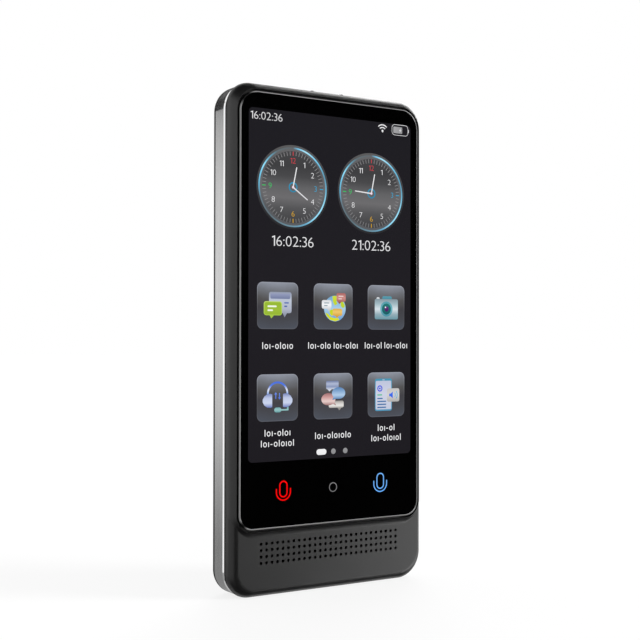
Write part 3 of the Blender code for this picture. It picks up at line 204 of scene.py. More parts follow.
def arc(centreA, centreB, radius, start, steps, sweep=90):
    turns = [math.radians(start + sweep * step / steps) for step in range(steps + 1)]
    return [(centreA + radius * math.cos(turn), centreB + radius * math.sin(turn)) for turn in turns]


def roundedBox(left, right, low, high, radius, steps=8, topRadius=None):
    top = radius if topRadius is None else topRadius
    points = arc(right - radius, low + radius, radius, -90, steps)
    points += arc(right - top, high - top, top, 0, steps)
    points += arc(left + top, high - top, top, 90, steps)
    points += arc(left + radius, low + radius, radius, 180, steps)
    return points


def boxPair(left, right, low, high, radius, wall, steps=8):
    # the outer and the inner outline of a rounded frame
    outer = roundedBox(left, right, low, high, radius, steps)
    return outer, roundedBox(left + wall, right - wall, low + wall, high - wall, radius - wall, steps)


def atDepth(points, depth):
    return [(x, depth, z) for x, z in points]


def bodyRing(inset, depth, steps=20):
    # the outline of the frame and the back cover, drawn in by an inset
    edge = halfWidth - inset
    points = roundedBox(-edge, edge, inset, body["height"] - inset, body["corner"] - inset, steps,
                        body["topCorner"] - inset)
    return atDepth(points, depth)


def spot(x, depth, z):
    return Vector((x * mm, (depth - body["depth"] / 2) * mm, z * mm))


def addLoft(work, rings, closed=False, finishIndex=0, strip=False):
    # quads from ring to ring, with the ends capped or joined to each other; strip caps the last ring in quads
    loops = [[work.verts.new(spot(*point)) for point in ring] for ring in rings]
    last = loops[-1]
    caps = [] if closed else [loops[0][::-1]] if strip else [loops[0][::-1], last]
    faces = [work.faces.new(cap) for cap in caps]
    for first, second in zip(loops, loops[1:] + (loops[:1] if closed else [])):
        for here in range(len(first)):
            after = (here + 1) % len(first)
            faces.append(work.faces.new((first[here], first[after], second[after], second[here])))
    if strip:
        for here in range(len(last) // 2 - 1):
            faces.append(work.faces.new((last[here], last[here + 1], last[-here - 2], last[-here - 1])))
    for face in faces:
        face.material_index = finishIndex


def toObject(name, work, origin=Vector()):
    bmesh.ops.recalc_face_normals(work, faces=work.faces)
    for vert in work.verts:
        vert.co -= origin
    mesh = bpy.data.meshes.new(name)
    work.to_mesh(mesh)
    work.free()
    made = bpy.data.objects.new(name, mesh)
    made.location = origin
    scene.collection.objects.link(made)
    return made


def loft(name, rings, closed=False):
    work = bmesh.new()
    addLoft(work, rings, closed)
    return toObject(name, work)


def turnedRings(centre, profile, sides):
    # a profile of (radius, depth) turned about an axis that runs front to back
    return [atDepth(oval(*centre, radius, radius, sides), depth) for radius, depth in profile]


def turned(name, centre, profile, sides, closed=False):
    return loft(name, turnedRings(centre, profile, sides), closed)


def applyAll(made):
    # freeze the modifiers into the mesh
    graph = bpy.context.evaluated_depsgraph_get()
    shape = made.evaluated_get(graph)
    mesh = bpy.data.meshes.new_from_object(shape, preserve_all_data_layers=True, depsgraph=graph)
    made.modifiers.clear()
    made.data = mesh


def combine(target, operation, *tools):
    for tool in tools:
        modifier = target.modifiers.new(operation, "BOOLEAN")
        modifier.operation = operation
        modifier.solver = "EXACT"
        modifier.object = tool
    applyAll(target)
    for tool in tools:
        bpy.data.objects.remove(tool, do_unlink=True)


def dress(made, finishes, standsFor, rides="handset", angle=32):
    # smooth shading that keeps flat faces flat, the finishes, the body it rides and the node it replaces
    for finish in finishes:
        made.data.materials.append(finish)
    made.data.shade_smooth()
    made.data.set_sharp_from_angle(angle=math.radians(angle))
    weigh = made.modifiers.new("weigh", "WEIGHTED_NORMAL")
    weigh.keep_sharp = True
    weigh.weight = 80
    applyAll(made)
    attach(made, rides)
    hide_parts(standsFor)


# Finishes of the outer shell

def mouldedPlastic(name, shade, roughness, grain, lift):
    # satin plastic: fine spark grain, faint flow marks and slightly polished high spots
    finish = Finish(name)
    fine = finish.noise(grain, detail=3.0)
    broad = finish.noise(14.0)
    colour = finish.mix(finish.limit(broad, 0.3, 0.7), grey(shade * 0.9), grey(shade * 1.12))
    rough = roughness + (fine - 0.5) * 0.1 + (broad - 0.5) * 0.06
    return finish.shade(colour, rough, {"Specular IOR Level": 0.75}, fine, lift, 0.6)


def brushedMetal(name, shade, roughness, streak=0.05, polishedTo=None, lift=0.002, tint=(1.0, 1.0, 1.0)):
    # aluminium whose brush marks run along the edge; the front chamfer is cut bright
    finish = Finish(name)
    fine = finish.noise(streak, stretch=(240, 1, 240), detail=3.0)
    broad = finish.noise(0.55, stretch=(60, 1, 60))
    marks = fine * 0.6 + broad * 0.4
    tone = finish.limit(marks, 0.25, 0.75)
    polished, chamferRough = 1.0, 0.07
    if polishedTo is not None:
        edge = polishedTo - body["depth"] / 2
        [depth] = finish.axes("d")
        polished = finish.limit(depth, edge - 0.03, edge + 0.03)
    colour = finish.mix(tone * polished, tinted(tint, shade), tinted(tint, shade * 0.82))
    if polishedTo is not None:
        colour = finish.mix(polished, grey(0.95), colour)
    rough = chamferRough + polished * (roughness - chamferRough + (marks - 0.5) * 0.12)
    return finish.shade(colour, rough, {"Metallic": 1.0, "Anisotropic": 0.5}, marks * polished, lift, 0.5)


def blackGlass(name):
    # polished glass over black print, with the faintest smears
    finish = Finish(name)
    smear = finish.noise(18.0, stretch=(1, 1, 2.2), detail=4.0)
    colour = finish.mix(smear, grey(0.0002), grey(0.0006))
    return finish.shade(colour, 0.025 + finish.limit(smear, 0.45, 0.8, 0.0, 0.03))


def groundEdge(name, edge):
    # the ground bevel round the glass: lighter than the print behind it, partly as a frosted edge and partly
    # as a painted highlight; painted shade makes it darker towards the right, darker still along the right
    # side, and dark at the two left corners
    finish = Finish(name)
    x, z = finish.axes("xz")
    fine = finish.noise(0.25)
    # painted shade: the bevel's tone falls from left to right, and drops further along the right side from
    # sideFrom
    colour = finish.mix(finish.limit(x, -halfWidth, halfWidth), grey(edge["left"]), grey(edge["right"]))
    colour = finish.mix(finish.limit(x, *edge["sideFrom"]), colour, grey(edge["side"]))
    # painted shade: a dark spot at each left corner of the bevel
    for side, up, reach in edge["darkSpots"]:
        away = (x - side) * (x - side) + (z - up) * (z - up)
        colour = finish.mix(finish.limit(away, reach * reach * 0.2, reach * reach), grey(0.01), colour)
    return finish.shade(colour, 0.3 + (fine - 0.5) * 0.1, {"Specular IOR Level": 0.6}, fine, 0.001, 0.4)


def turnedMetal(name, shade, roughness, centre, pitch=0.16):
    # metal with the fine rings that a lathe leaves
    finish = Finish(name)
    rings = finish.waves(finish.radius(centre), pitch)
    wear = finish.noise(2.5, detail=3.0)
    colour = finish.mix(wear, grey(shade * 0.85), grey(shade * 1.1))
    rough = roughness + rings * 0.05 + (wear - 0.5) * 0.08
    return finish.shade(colour, rough, {"Metallic": 1.0}, rings, 0.004, 0.5)


print("stage: finishes ready")


# Front housing: a chin with a round edge, and a raised rim round the glass whose foot flares onto it

housing = dict(
    rimDepth=0.3, rimInset=1.3, rimTopInset=1.71, rimLand=0.09, rimRightLand=0.12,
    rimTopRadius=6.1, rimLowRadius=4.7, topCorner=6.3, rimFoot=16.68, footLand=0.02,
    wallDepth=3.5, wallSteps=14, rampTilt=36, rampSink=0.012, rampSteps=12,
    chinDepth=0.92, chinSteps=14, chinFillet=2.4, lowCorner=6.15, chinRadius=4.8,
    chinRightFillet=1.4, lowRightCorner=6.8, chinRightRadius=5.9,
    shoulderLow=20.5, shoulderHigh=23.5, shoulderIn=1.8,
    chinBack=3.54, backDepth=3.55, wall=1.5, plateDepth=2.5, ledgeDepth=1.85, ledgeWidth=1.6,
    windowRadius=2.0, cornerSteps=22, windowSteps=6, cutPast=0.6,
    plastic=dict(shade=0.0075, roughness=0.38, grain=0.32, lift=0.004),
)
grille = dict(
    columns=27, rows=4, pitch=1.62, height=11.1, sides=18,
    radius=0.385, mouth=0.43, mouthDepth=0.06, mouthOver=0.04, cutPast=0.5,
)


def chinRings():
    rings = []
    steps = housing["cornerSteps"]
    low, high, shoulder = housing["shoulderLow"], housing["shoulderHigh"], housing["shoulderIn"]
    for step in range(housing["chinSteps"] + 2):
        turn = math.radians(90 * (1 - min(step, housing["chinSteps"]) / housing["chinSteps"]))
        share = 1 - math.cos(turn)
        inset = housing["chinFillet"] * share
        radius = between(housing["lowCorner"], housing["chinRadius"], share)
        rightRadius = between(housing["lowRightCorner"], housing["chinRightRadius"], share)
        depth = housing["chinDepth"] + housing["chinFillet"] * (1 - math.sin(turn))
        if step > housing["chinSteps"]:
            depth = housing["chinBack"]
        edge = halfWidth - inset
        right = halfWidth - housing["chinRightFillet"] * share
        outline = arc(right - rightRadius, inset + rightRadius, rightRadius, -90, steps)
        outline += [(right, low), (right - shoulder, high), (shoulder - edge, high), (-edge, low)]
        outline += arc(radius - edge, inset + radius, radius, 180, steps)
        rings.append(atDepth(outline, depth))
    return rings


def rimRing(depth, flare):
    swell = max(0.0, (housing["wallDepth"] - depth) / (housing["wallDepth"] - housing["rimDepth"])) ** 2
    edge = halfWidth - housing["rimInset"] * swell
    high = body["height"] - housing["rimTopInset"] * swell
    topRadius = between(housing["topCorner"], housing["rimTopRadius"], swell)
    points = roundedBox(-edge, edge, housing["rimFoot"] - flare, high, housing["rimLowRadius"] + flare,
                        housing["cornerSteps"], topRadius)
    return atDepth(points, depth)


def rimRings():
    # the foot is a round arc that starts tilted at the glass and ends level with the chin
    rings = []
    start = housing["chinDepth"] + housing["rampSink"]
    steepest = math.radians(housing["rampTilt"])
    bend = (start - housing["rimDepth"]) / (1 - math.cos(steepest))
    run = bend * math.sin(steepest)
    for step in range(housing["rampSteps"] + 1):
        tilt = steepest * (1 - step / housing["rampSteps"])
        rings.append(rimRing(start - bend * (1 - math.cos(tilt)), run - bend * math.sin(tilt)))
    for step in range(1, housing["wallSteps"] + 1):
        rings.append(rimRing(start + (housing["wallDepth"] - start) * step / housing["wallSteps"], run))
    rings.append(rimRing(housing["backDepth"], run))
    return rings


def pocketRing(inset, depth, rightInset=None, lowInset=None):
    # the pocket that the glass lies in, drawn in by an inset
    land = housing["rimLand"]
    left = housing["rimInset"] + land + inset
    right = housing["rimInset"] + housing["rimRightLand"] + (inset if rightInset is None else rightInset)
    high = body["height"] - housing["rimTopInset"] - land - inset
    low = housing["rimFoot"] + housing["footLand"] + (inset if lowInset is None else lowInset)
    lowRadius, topRadius = (housing[name] - land - inset for name in ("rimLowRadius", "rimTopRadius"))
    steps = housing["cornerSteps"]
    points = roundedBox(left - halfWidth, halfWidth - right, low, high, lowRadius, steps, topRadius)
    return atDepth(points, depth)


def windowRing(depth):
    # the opening behind the ledge that carries the glass
    inset = housing["rimLand"] + housing["ledgeWidth"]
    side = halfWidth - housing["rimInset"] - inset
    high = body["height"] - housing["rimTopInset"] - inset
    low, radius = housing["rimFoot"] + inset, housing["windowRadius"]
    return atDepth(roundedBox(-side, side, low, high, radius, housing["windowSteps"]), depth)


def grilleTool():
    work = bmesh.new()
    front, mouth, radius, past = housing["chinDepth"], grille["mouth"], grille["radius"], grille["mouthOver"]
    profile = (
        (mouth + past, front - past), (mouth, front),
        (radius, front + grille["mouthDepth"]), (radius, housing["plateDepth"] + grille["cutPast"]),
    )
    for row in range(grille["rows"]):
        z = grille["height"] + grille["pitch"] * (row - (grille["rows"] - 1) / 2)
        for column in range(grille["columns"]):
            x = grille["pitch"] * (column - (grille["columns"] - 1) / 2)
            addLoft(work, turnedRings((x, z), profile, grille["sides"]))
    return toObject("grilleTool", work)


def frontHousing():
    shell = loft("frontHousing", chinRings())
    combine(shell, "UNION", loft("rimTool", rimRings()))
    back, wall = housing["backDepth"] + housing["cutPast"], housing["wall"]
    hollow = loft("hollowTool", [bodyRing(wall, housing["plateDepth"]), bodyRing(wall, back)])
    pocket = loft("pocketTool", [pocketRing(0.0, -over), pocketRing(0.0, housing["ledgeDepth"])])
    window = loft("windowTool", [windowRing(housing["rimDepth"]), windowRing(back)])
    combine(shell, "DIFFERENCE", hollow, pocket, window, grilleTool())
    dress(shell, [mouldedPlastic("housingPlastic", **housing["plastic"])], "front_housing")


frontHousing()
print("stage: front housing done")


# Metal frame: brushed band, bright front chamfer, and the slots of keys, socket and microphones

band = dict(
    # the rings of the profile: inset and depth
    profile=((0.6, 3.8), (0.6, 4.5), (0.16, 4.5), (0.11, 4.55), (0.015, 5.08), (0.0, 5.18), (0.0, 9.45),
             (0.05, 9.5), (2.0, 9.5), (2.0, 3.8)),
    wall=2.0, cornerSteps=28, keyDepth=6.9, powerSide=1.9, volumeHeights=(107.2, 94.2),
    # half the length, half the thickness and the corner radius of each opening
    powerSlot=(5.75, 1.5, 0.75), volumeSlot=(5.3, 1.5, 0.75), socketSlot=(4.77, 1.93, 1.55),
    port=(0.5, 0.5, 0.49), topPort=(-16.0, 6.35), lowPort=(12.0, 6.2),
    metal=dict(shade=0.74, roughness=0.17, polishedTo=5.13, lift=0.0008),
)


def cutter(name, face, middle, depth, half, thick, radius):
    # goes right through the band at its top, its foot or its right side
    reach, edge = band["wall"] + over, halfWidth if face == "right" else body["height"]
    ends = (-over, reach) if face == "foot" else (edge - reach, edge + over)
    points = [(middle + a, depth + b) for a, b in roundedBox(-half, half, -thick, thick, radius)]
    return loft(name, [[(end, b, a) if face == "right" else (a, b, end) for a, b in points] for end in ends])


def metalFrame():
    rings = [bodyRing(*point, band["cornerSteps"]) for point in band["profile"]]
    ring = loft("metalFrame", rings, closed=True)
    depth, volume = band["keyDepth"], band["volumeSlot"]
    combine(
        ring, "DIFFERENCE",
        cutter("powerTool", "top", band["powerSide"], depth, *band["powerSlot"]),
        cutter("socketTool", "foot", 0.0, depth, *band["socketSlot"]),
        *(cutter("volumeTool", "right", height, depth, *volume) for height in band["volumeHeights"]),
        cutter("topPortTool", "top", *band["topPort"], *band["port"]),
        cutter("lowPortTool", "foot", *band["lowPort"], *band["port"]),
    )
    metal = brushedMetal("frameAluminium", **band["metal"])
    dress(ring, [metal], "metal_frame", angle=24)


metalFrame()
print("stage: metal frame done")


# Back cover with the seats of the camera ring and the flash lens

cover = dict(
    front=9.75, lip=0.05, lipTall=0.04, fillet=1.9, filletSteps=14, wall=1.4, inner=10.4, cornerSteps=22,
    neck=5.0, seat=6.2, seatDepth=10.85, seatEdge=0.1, seatFlare=0.2, ringSides=96,
    flashHole=1.6, flashSides=48, plastic=dict(shade=0.013, roughness=0.52, grain=0.4, lift=0.007),
)


def nodeCentre(node):
    low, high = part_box(node)
    return ((low.x + high.x) / 2 / mm, (low.z + high.z) / 2 / mm)


cameraCentre = nodeCentre("camera_ring")
flashCentre = nodeCentre("flash_lens")


def backCover():
    depth, front, steps, inner = body["depth"], cover["front"], cover["cornerSteps"], cover["inner"]
    rings = [bodyRing(cover["lip"], front, steps), bodyRing(0.0, front + cover["lipTall"], steps)]
    for step in range(1, cover["filletSteps"] + 1):
        turn = math.radians(90 * step / cover["filletSteps"])
        inset = cover["fillet"] * (1 - math.cos(turn))
        rings.append(bodyRing(inset, depth - cover["fillet"] * (1 - math.sin(turn)), steps))
    shell = loft("backCover", rings)
    neck, seat, edge, hole = cover["neck"], cover["seat"], cover["seatEdge"], cover["flashHole"]
    seatProfile = (seat, cover["seatDepth"]), (seat, depth - edge), (seat + cover["seatFlare"], depth + edge)
    combine(
        shell, "DIFFERENCE",
        loft("coverTool", [bodyRing(cover["wall"], front - over), bodyRing(cover["wall"], inner)]),
        turned("neckTool", cameraCentre, ((neck, inner - over), (neck, depth + over)), cover["ringSides"]),
        turned("seatTool", cameraCentre, seatProfile, cover["ringSides"]),
        turned("flashTool", flashCentre, ((hole, inner - over), (hole, depth + over)), cover["flashSides"]),
    )
    dress(shell, [mouldedPlastic("coverPlastic", **cover["plastic"])], "back_cover")


backCover()
print("stage: back cover done")


# Cover glass: one sheet with a ground bevel

glass = dict(
    # the rings: inset, depth, and the insets at the right and at the foot where they differ
    rings=((0.67, 1.1, 0.39), (0.62, 1.05, 0.34), (0.62, 0.43, 0.34), (0.66, 0.38, 0.38),
           (0.88, 0.05, 0.86, 0.94), (0.94, 0.03, 0.94, 1.01)),
    face=0.03, bevelFront=0.035, bevelBack=0.39,
    # the bevel's tones: left and right are a painted highlight that fades into painted shade across the
    # glass, side is painted shade on the right side from sideFrom, and the spots are painted shade at the
    # left corners
    edge=dict(left=0.33, right=0.23, side=0.075, sideFrom=(27.0, 27.4),
              darkSpots=((-26.4, 127.1, 3.0), (-27.15, 18.4, 1.65))),
)


def coverGlass():
    sheet = loft("coverGlass", [pocketRing(*ring) for ring in glass["rings"]])
    nearest, farthest = (spot(0, glass[name], 0).y for name in ("bevelFront", "bevelBack"))
    for side in sheet.data.polygons:
        side.material_index = 1 if nearest < side.center.y < farthest else 0
    finishes = [blackGlass("blackGlass"), groundEdge("groundGlassEdge", glass["edge"])]
    dress(sheet, finishes, "cover_glass", angle=20)


coverGlass()
print("stage: cover glass done")


# Keys: a rounded bar with a softened top edge, a flange behind the frame and a nub

keys = dict(
    thick=1.2, cornerRadius=0.5, cornerSteps=6, topSteps=28, soften=0.22, softenSteps=5,
    flangeTop=-2.3, flangeLow=-2.9, flangeOver=0.75, nubLow=-3.25, nubHalf=1.0, nubThick=0.96, nubRadius=0.25,
    crest=0.85, roll=0.3,
    power=dict(half=5.45, rise=0.84, dish=0.4), volume=dict(half=5.0, rise=0.5, dish=0.42),
    metal=dict(shade=0.72, roughness=0.2, streak=0.06),
)
keyMetal = brushedMetal("keyAluminium", **keys["metal"])


def keyLoop(half, thick, radius):
    # the outline of a key: along its front from one end to the other, and the same way back behind
    inner, steps = half - radius, keys["topSteps"]
    corner = arc(-inner, thick - radius, radius, 180, keys["cornerSteps"], -90)
    row = corner + [(-inner * math.cos(math.pi * step / steps), thick) for step in range(1, steps)]
    row += [(-along, across) for along, across in corner[::-1]]
    return [(along, -across) for along, across in row] + row[::-1]


def keyTop(along, half, rise, dish):
    # dished in the middle, highest at the two crests, and rolled down at the ends
    share, crest = abs(along) / half, keys["crest"]
    if share <= crest:
        return dish + (rise - dish) * (share / crest) ** 2
    past = min(1.0, (share - crest) / (1 - crest))
    return rise - min(keys["roll"], rise) * (1 - math.sqrt(1 - past * past))


def keySpot(along, across, level, height):
    # the power key lies along the top edge, and a volume key stands at its height on the right edge
    depth = band["keyDepth"] + across
    if height is None:
        return band["powerSide"] + along, depth, body["height"] + level
    return halfWidth + level, depth, height + along


def keyPiece(name, node, rides, size, height=None):
    half, thick, radius = size["half"], keys["thick"], keys["cornerRadius"]
    nub = keyLoop(keys["nubHalf"], keys["nubThick"], keys["nubRadius"])
    flange = keyLoop(half + keys["flangeOver"], thick, radius)
    levels = (
        (nub, keys["nubLow"]), (nub, keys["flangeLow"]), (flange, keys["flangeLow"]),
        (flange, keys["flangeTop"]), (keyLoop(half, thick, radius), keys["flangeTop"]),
    )
    rings = [[keySpot(*point, level, height) for point in loop] for loop, level in levels]
    for step in range(keys["softenSteps"] + 1):
        turn = math.radians(90 * step / keys["softenSteps"])
        inset, drop = (keys["soften"] * (1 - part) for part in (math.cos(turn), math.sin(turn)))
        loop = keyLoop(half - inset, thick - inset, radius - inset)
        rings.append([keySpot(*point, keyTop(point[0], **size) - drop, height) for point in loop])
    work = bmesh.new()
    addLoft(work, rings, strip=True)
    dress(toObject(name, work), [keyMetal], node, rides, angle=40)


keyPiece("powerKey", "power_button", "power_key", keys["power"])
for way, height in zip(("up", "down"), band["volumeHeights"]):
    node, rides = f"volume_{way}_button", f"volume_{way}_key"
    keyPiece(f"volume{way.title()}Key", node, rides, keys["volume"], height)
print("stage: keys done")


# Camera ring, its window, and the flash lens, turned from profiles of (radius, depth below the back face)

lens = dict(
    ring=((3.4, 1.45), (4.7, 1.45), (4.7, 0.6), (5.9, 0.6), (5.9, 0.22), (5.7, 0.02), (5.6, 0.0), (4.85, 0.0),
          (4.7, 0.05), (4.22, 0.2), (4.1, 0.3), (4.1, 1.0), (3.4, 1.0)),
    window=((3.8, 0.75), (3.8, 0.31), (3.74, 0.25)),
    flash=((1.3, 1.95), (2.1, 1.95), (2.1, 1.55), (1.3, 1.55), (1.3, 0.15), (1.2, 0.05), (0.78, 0.0)),
    coating=((0.0, grey(0.004)), (0.2, (0.012, 0.008, 0.03, 1.0)), (0.33, (0.03, 0.012, 0.06, 1.0)),
             (0.4, grey(0.004)), (0.55, grey(0.012)), (0.58, grey(0.03)), (0.62, grey(0.006)),
             (1.0, grey(0.004))),
    phosphor=((0.0, linear(250, 214, 120)), (0.55, linear(236, 226, 196)), (1.0, linear(206, 206, 200))),
    windowRadius=3.8, flashRadius=1.3, flashPitch=0.2856, metal=dict(shade=0.16, roughness=0.28),
)


def cameraGlass(name):
    # dark window: a clear pupil with a violet coating, and printed rings round it
    finish = Finish(name)
    share = finish.radius(cameraCentre) * (1 / lens["windowRadius"])
    return finish.shade(finish.ramp(share, lens["coating"]), 0.03)


def frostedLens(name):
    finish = Finish(name)
    radius = finish.radius(flashCentre)
    colour = finish.ramp(radius * (1 / lens["flashRadius"]), lens["phosphor"])
    rings = finish.waves(radius, lens["flashPitch"])
    return finish.shade(colour, 0.22, {"Coat Weight": 0.5, "Transmission Weight": 0.15}, rings, 0.02, 0.6)


def lensPiece(name, centre, profile, sides, finish, node, closed=False):
    profile = [(radius, body["depth"] - down) for radius, down in profile]
    dress(turned(name, centre, profile, sides, closed), [finish], node)


def lensPieces():
    ringMetal = turnedMetal("cameraRingMetal", centre=cameraCentre, **lens["metal"])
    flashFoot = (lens["flashRadius"], body["depth"] / 2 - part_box("flash_lens")[0].y / mm)
    sides = cover["ringSides"]
    lensPiece("cameraRing", cameraCentre, lens["ring"], sides, ringMetal, "camera_ring",
              closed=True)
    lensPiece("cameraWindow", cameraCentre, lens["window"], sides, cameraGlass("cameraGlass"),
              "camera_window")
    lensPiece("flashLens", flashCentre, (flashFoot, *lens["flash"]), cover["flashSides"],
              frostedLens("flashLensPlastic"), "flash_lens")


lensPieces()
print("stage: camera and flash done")


# Socket: drawn shell, and a tongue with gold contacts

socket = dict(
    # the rings: half the length, half the thickness, the corner radius and the height
    shell=((4.47, 1.63, 1.25, 6.2), (4.47, 1.63, 1.25, 0.5), (4.41, 1.57, 1.19, 0.4), (4.23, 1.39, 1.01, 0.4),
           (4.17, 1.33, 0.95, 0.5), (4.17, 1.33, 0.95, 5.9)),
    tongue=((3.3, 0.35, 0.2, 5.899), (3.3, 0.35, 0.2, 1.6), (3.22, 0.27, 0.2, 1.5)),
    shellSteps=10, tongueSteps=4,
    contacts=12, contactHalf=0.11, contactPitch=0.5, contactEnds=(1.85, 4.1), contactFaces=(0.351, 0.37),
    steel=dict(shade=0.55, roughness=0.25, streak=0.08),
    gold=dict(shade=0.9, roughness=0.25, tint=(1.0, 0.74, 0.36)),
    plastic=dict(shade=0.012, roughness=0.4, grain=0.2, lift=0.002),
)


def socketRing(half, thick, radius, z, steps):
    points = roundedBox(-half, half, -thick, thick, radius, steps)
    return [(a, band["keyDepth"] + b, z) for a, b in points]


def usbSocket():
    work = bmesh.new()
    addLoft(work, [socketRing(*ring, socket["shellSteps"]) for ring in socket["shell"]])
    addLoft(work, [socketRing(*ring, socket["tongueSteps"]) for ring in socket["tongue"]], finishIndex=1)
    for side in (-1, 1):
        near, far = (band["keyDepth"] + side * face for face in socket["contactFaces"])
        for index in range(socket["contacts"]):
            middle = socket["contactPitch"] * (index - (socket["contacts"] - 1) / 2)
            a, b = middle - socket["contactHalf"], middle + socket["contactHalf"]
            rings = [[(a, near, z), (b, near, z), (b, far, z), (a, far, z)] for z in socket["contactEnds"]]
            addLoft(work, rings, finishIndex=2)
    finishes = [
        brushedMetal("socketSteel", **socket["steel"]), mouldedPlastic("tonguePlastic", **socket["plastic"]),
        brushedMetal("contactGold", **socket["gold"]),
    ]
    dress(toObject("usbSocket", work), finishes, "usb_receptacle")


usbSocket()
print("stage: socket done")


# Display: thin plates that lie on the glass face, each on its own level. Its paints are lists of
# screen colours that run from a low place to a high one, up the piece or across it.

display = dict(left=-25.41, right=25.41, low=34.38, high=124.16, radius=1.2, step=0.0036, grainSize=1.6)
figures = dict(
    wide=1.08, gap=0.15, thin=-0.016, curveSteps=4,
    one=((0.2, 0.0), (0.315, 0.0), (0.315, 1.0), (0.275, 1.0), (0.0, 0.895), (0.0, 0.78), (0.2, 0.845)),
)
markSizes = dict(
    pattern=("mast", "ring", "post", "dash", "ring", "mast", "ring", "post", "ring"),
    mast=(0.23, 0.0, 1.72), post=(0.23, 0.0, 1.25), dash=(0.6, 0.52, 0.73), ring=(1.05, 0.0, 1.25),
    stroke=0.21, space=0.42, gap=0.55, middle=0.815, ringRound=0.49, endRound=0.45,
)
paints = {}


def lit(name, low, high, *stops, axis="z", grain=0.0, crown=0.0):
    # the colours run along one axis of the piece, and bow across it by the crown
    finish = Finish(name)
    x, z = finish.axes("xz")
    value = finish.limit(x if axis == "x" else z, low, high)
    if crown:
        value = value - x * x * crown
    if grain:
        value = value + (finish.noise(display["grainSize"], detail=1.0) - 0.5) * grain
    places = [(index / (len(stops) - 1), linear(*colour)) for index, colour in enumerate(stops)]
    paints[name] = finish.glow(finish.ramp(value, places))


def letterMesh(letter):
    curve = bpy.data.curves.new("numeral", "FONT")
    curve.body = letter
    curve.resolution_u = figures["curveSteps"]
    curve.offset = figures["thin"]
    holder = bpy.data.objects.new("numeral", curve)
    scene.collection.objects.link(holder)
    bpy.context.view_layer.update()
    mesh = bpy.data.meshes.new_from_object(holder)
    bpy.data.objects.remove(holder)
    points = [(vert.co.x, vert.co.y) for vert in mesh.vertices]
    faces = [tuple(face.vertices) for face in mesh.polygons]
    bpy.data.meshes.remove(mesh)
    return points, faces


noughtHeights = [z for x, z in letterMesh("0")[0]]
numerals = {"1": (figures["one"], [tuple(range(len(figures["one"])))])}


def numeral(letter):
    # points and faces of one numeral, measured from its left and from its foot in heights of a nought
    if letter not in numerals:
        points, faces = letterMesh(letter)
        left, foot = min(x for x, z in points), min(noughtHeights)
        tall = max(noughtHeights) - foot
        numerals[letter] = ([((x - left) / tall, (z - foot) / tall) for x, z in points], faces)
    return numerals[letter]


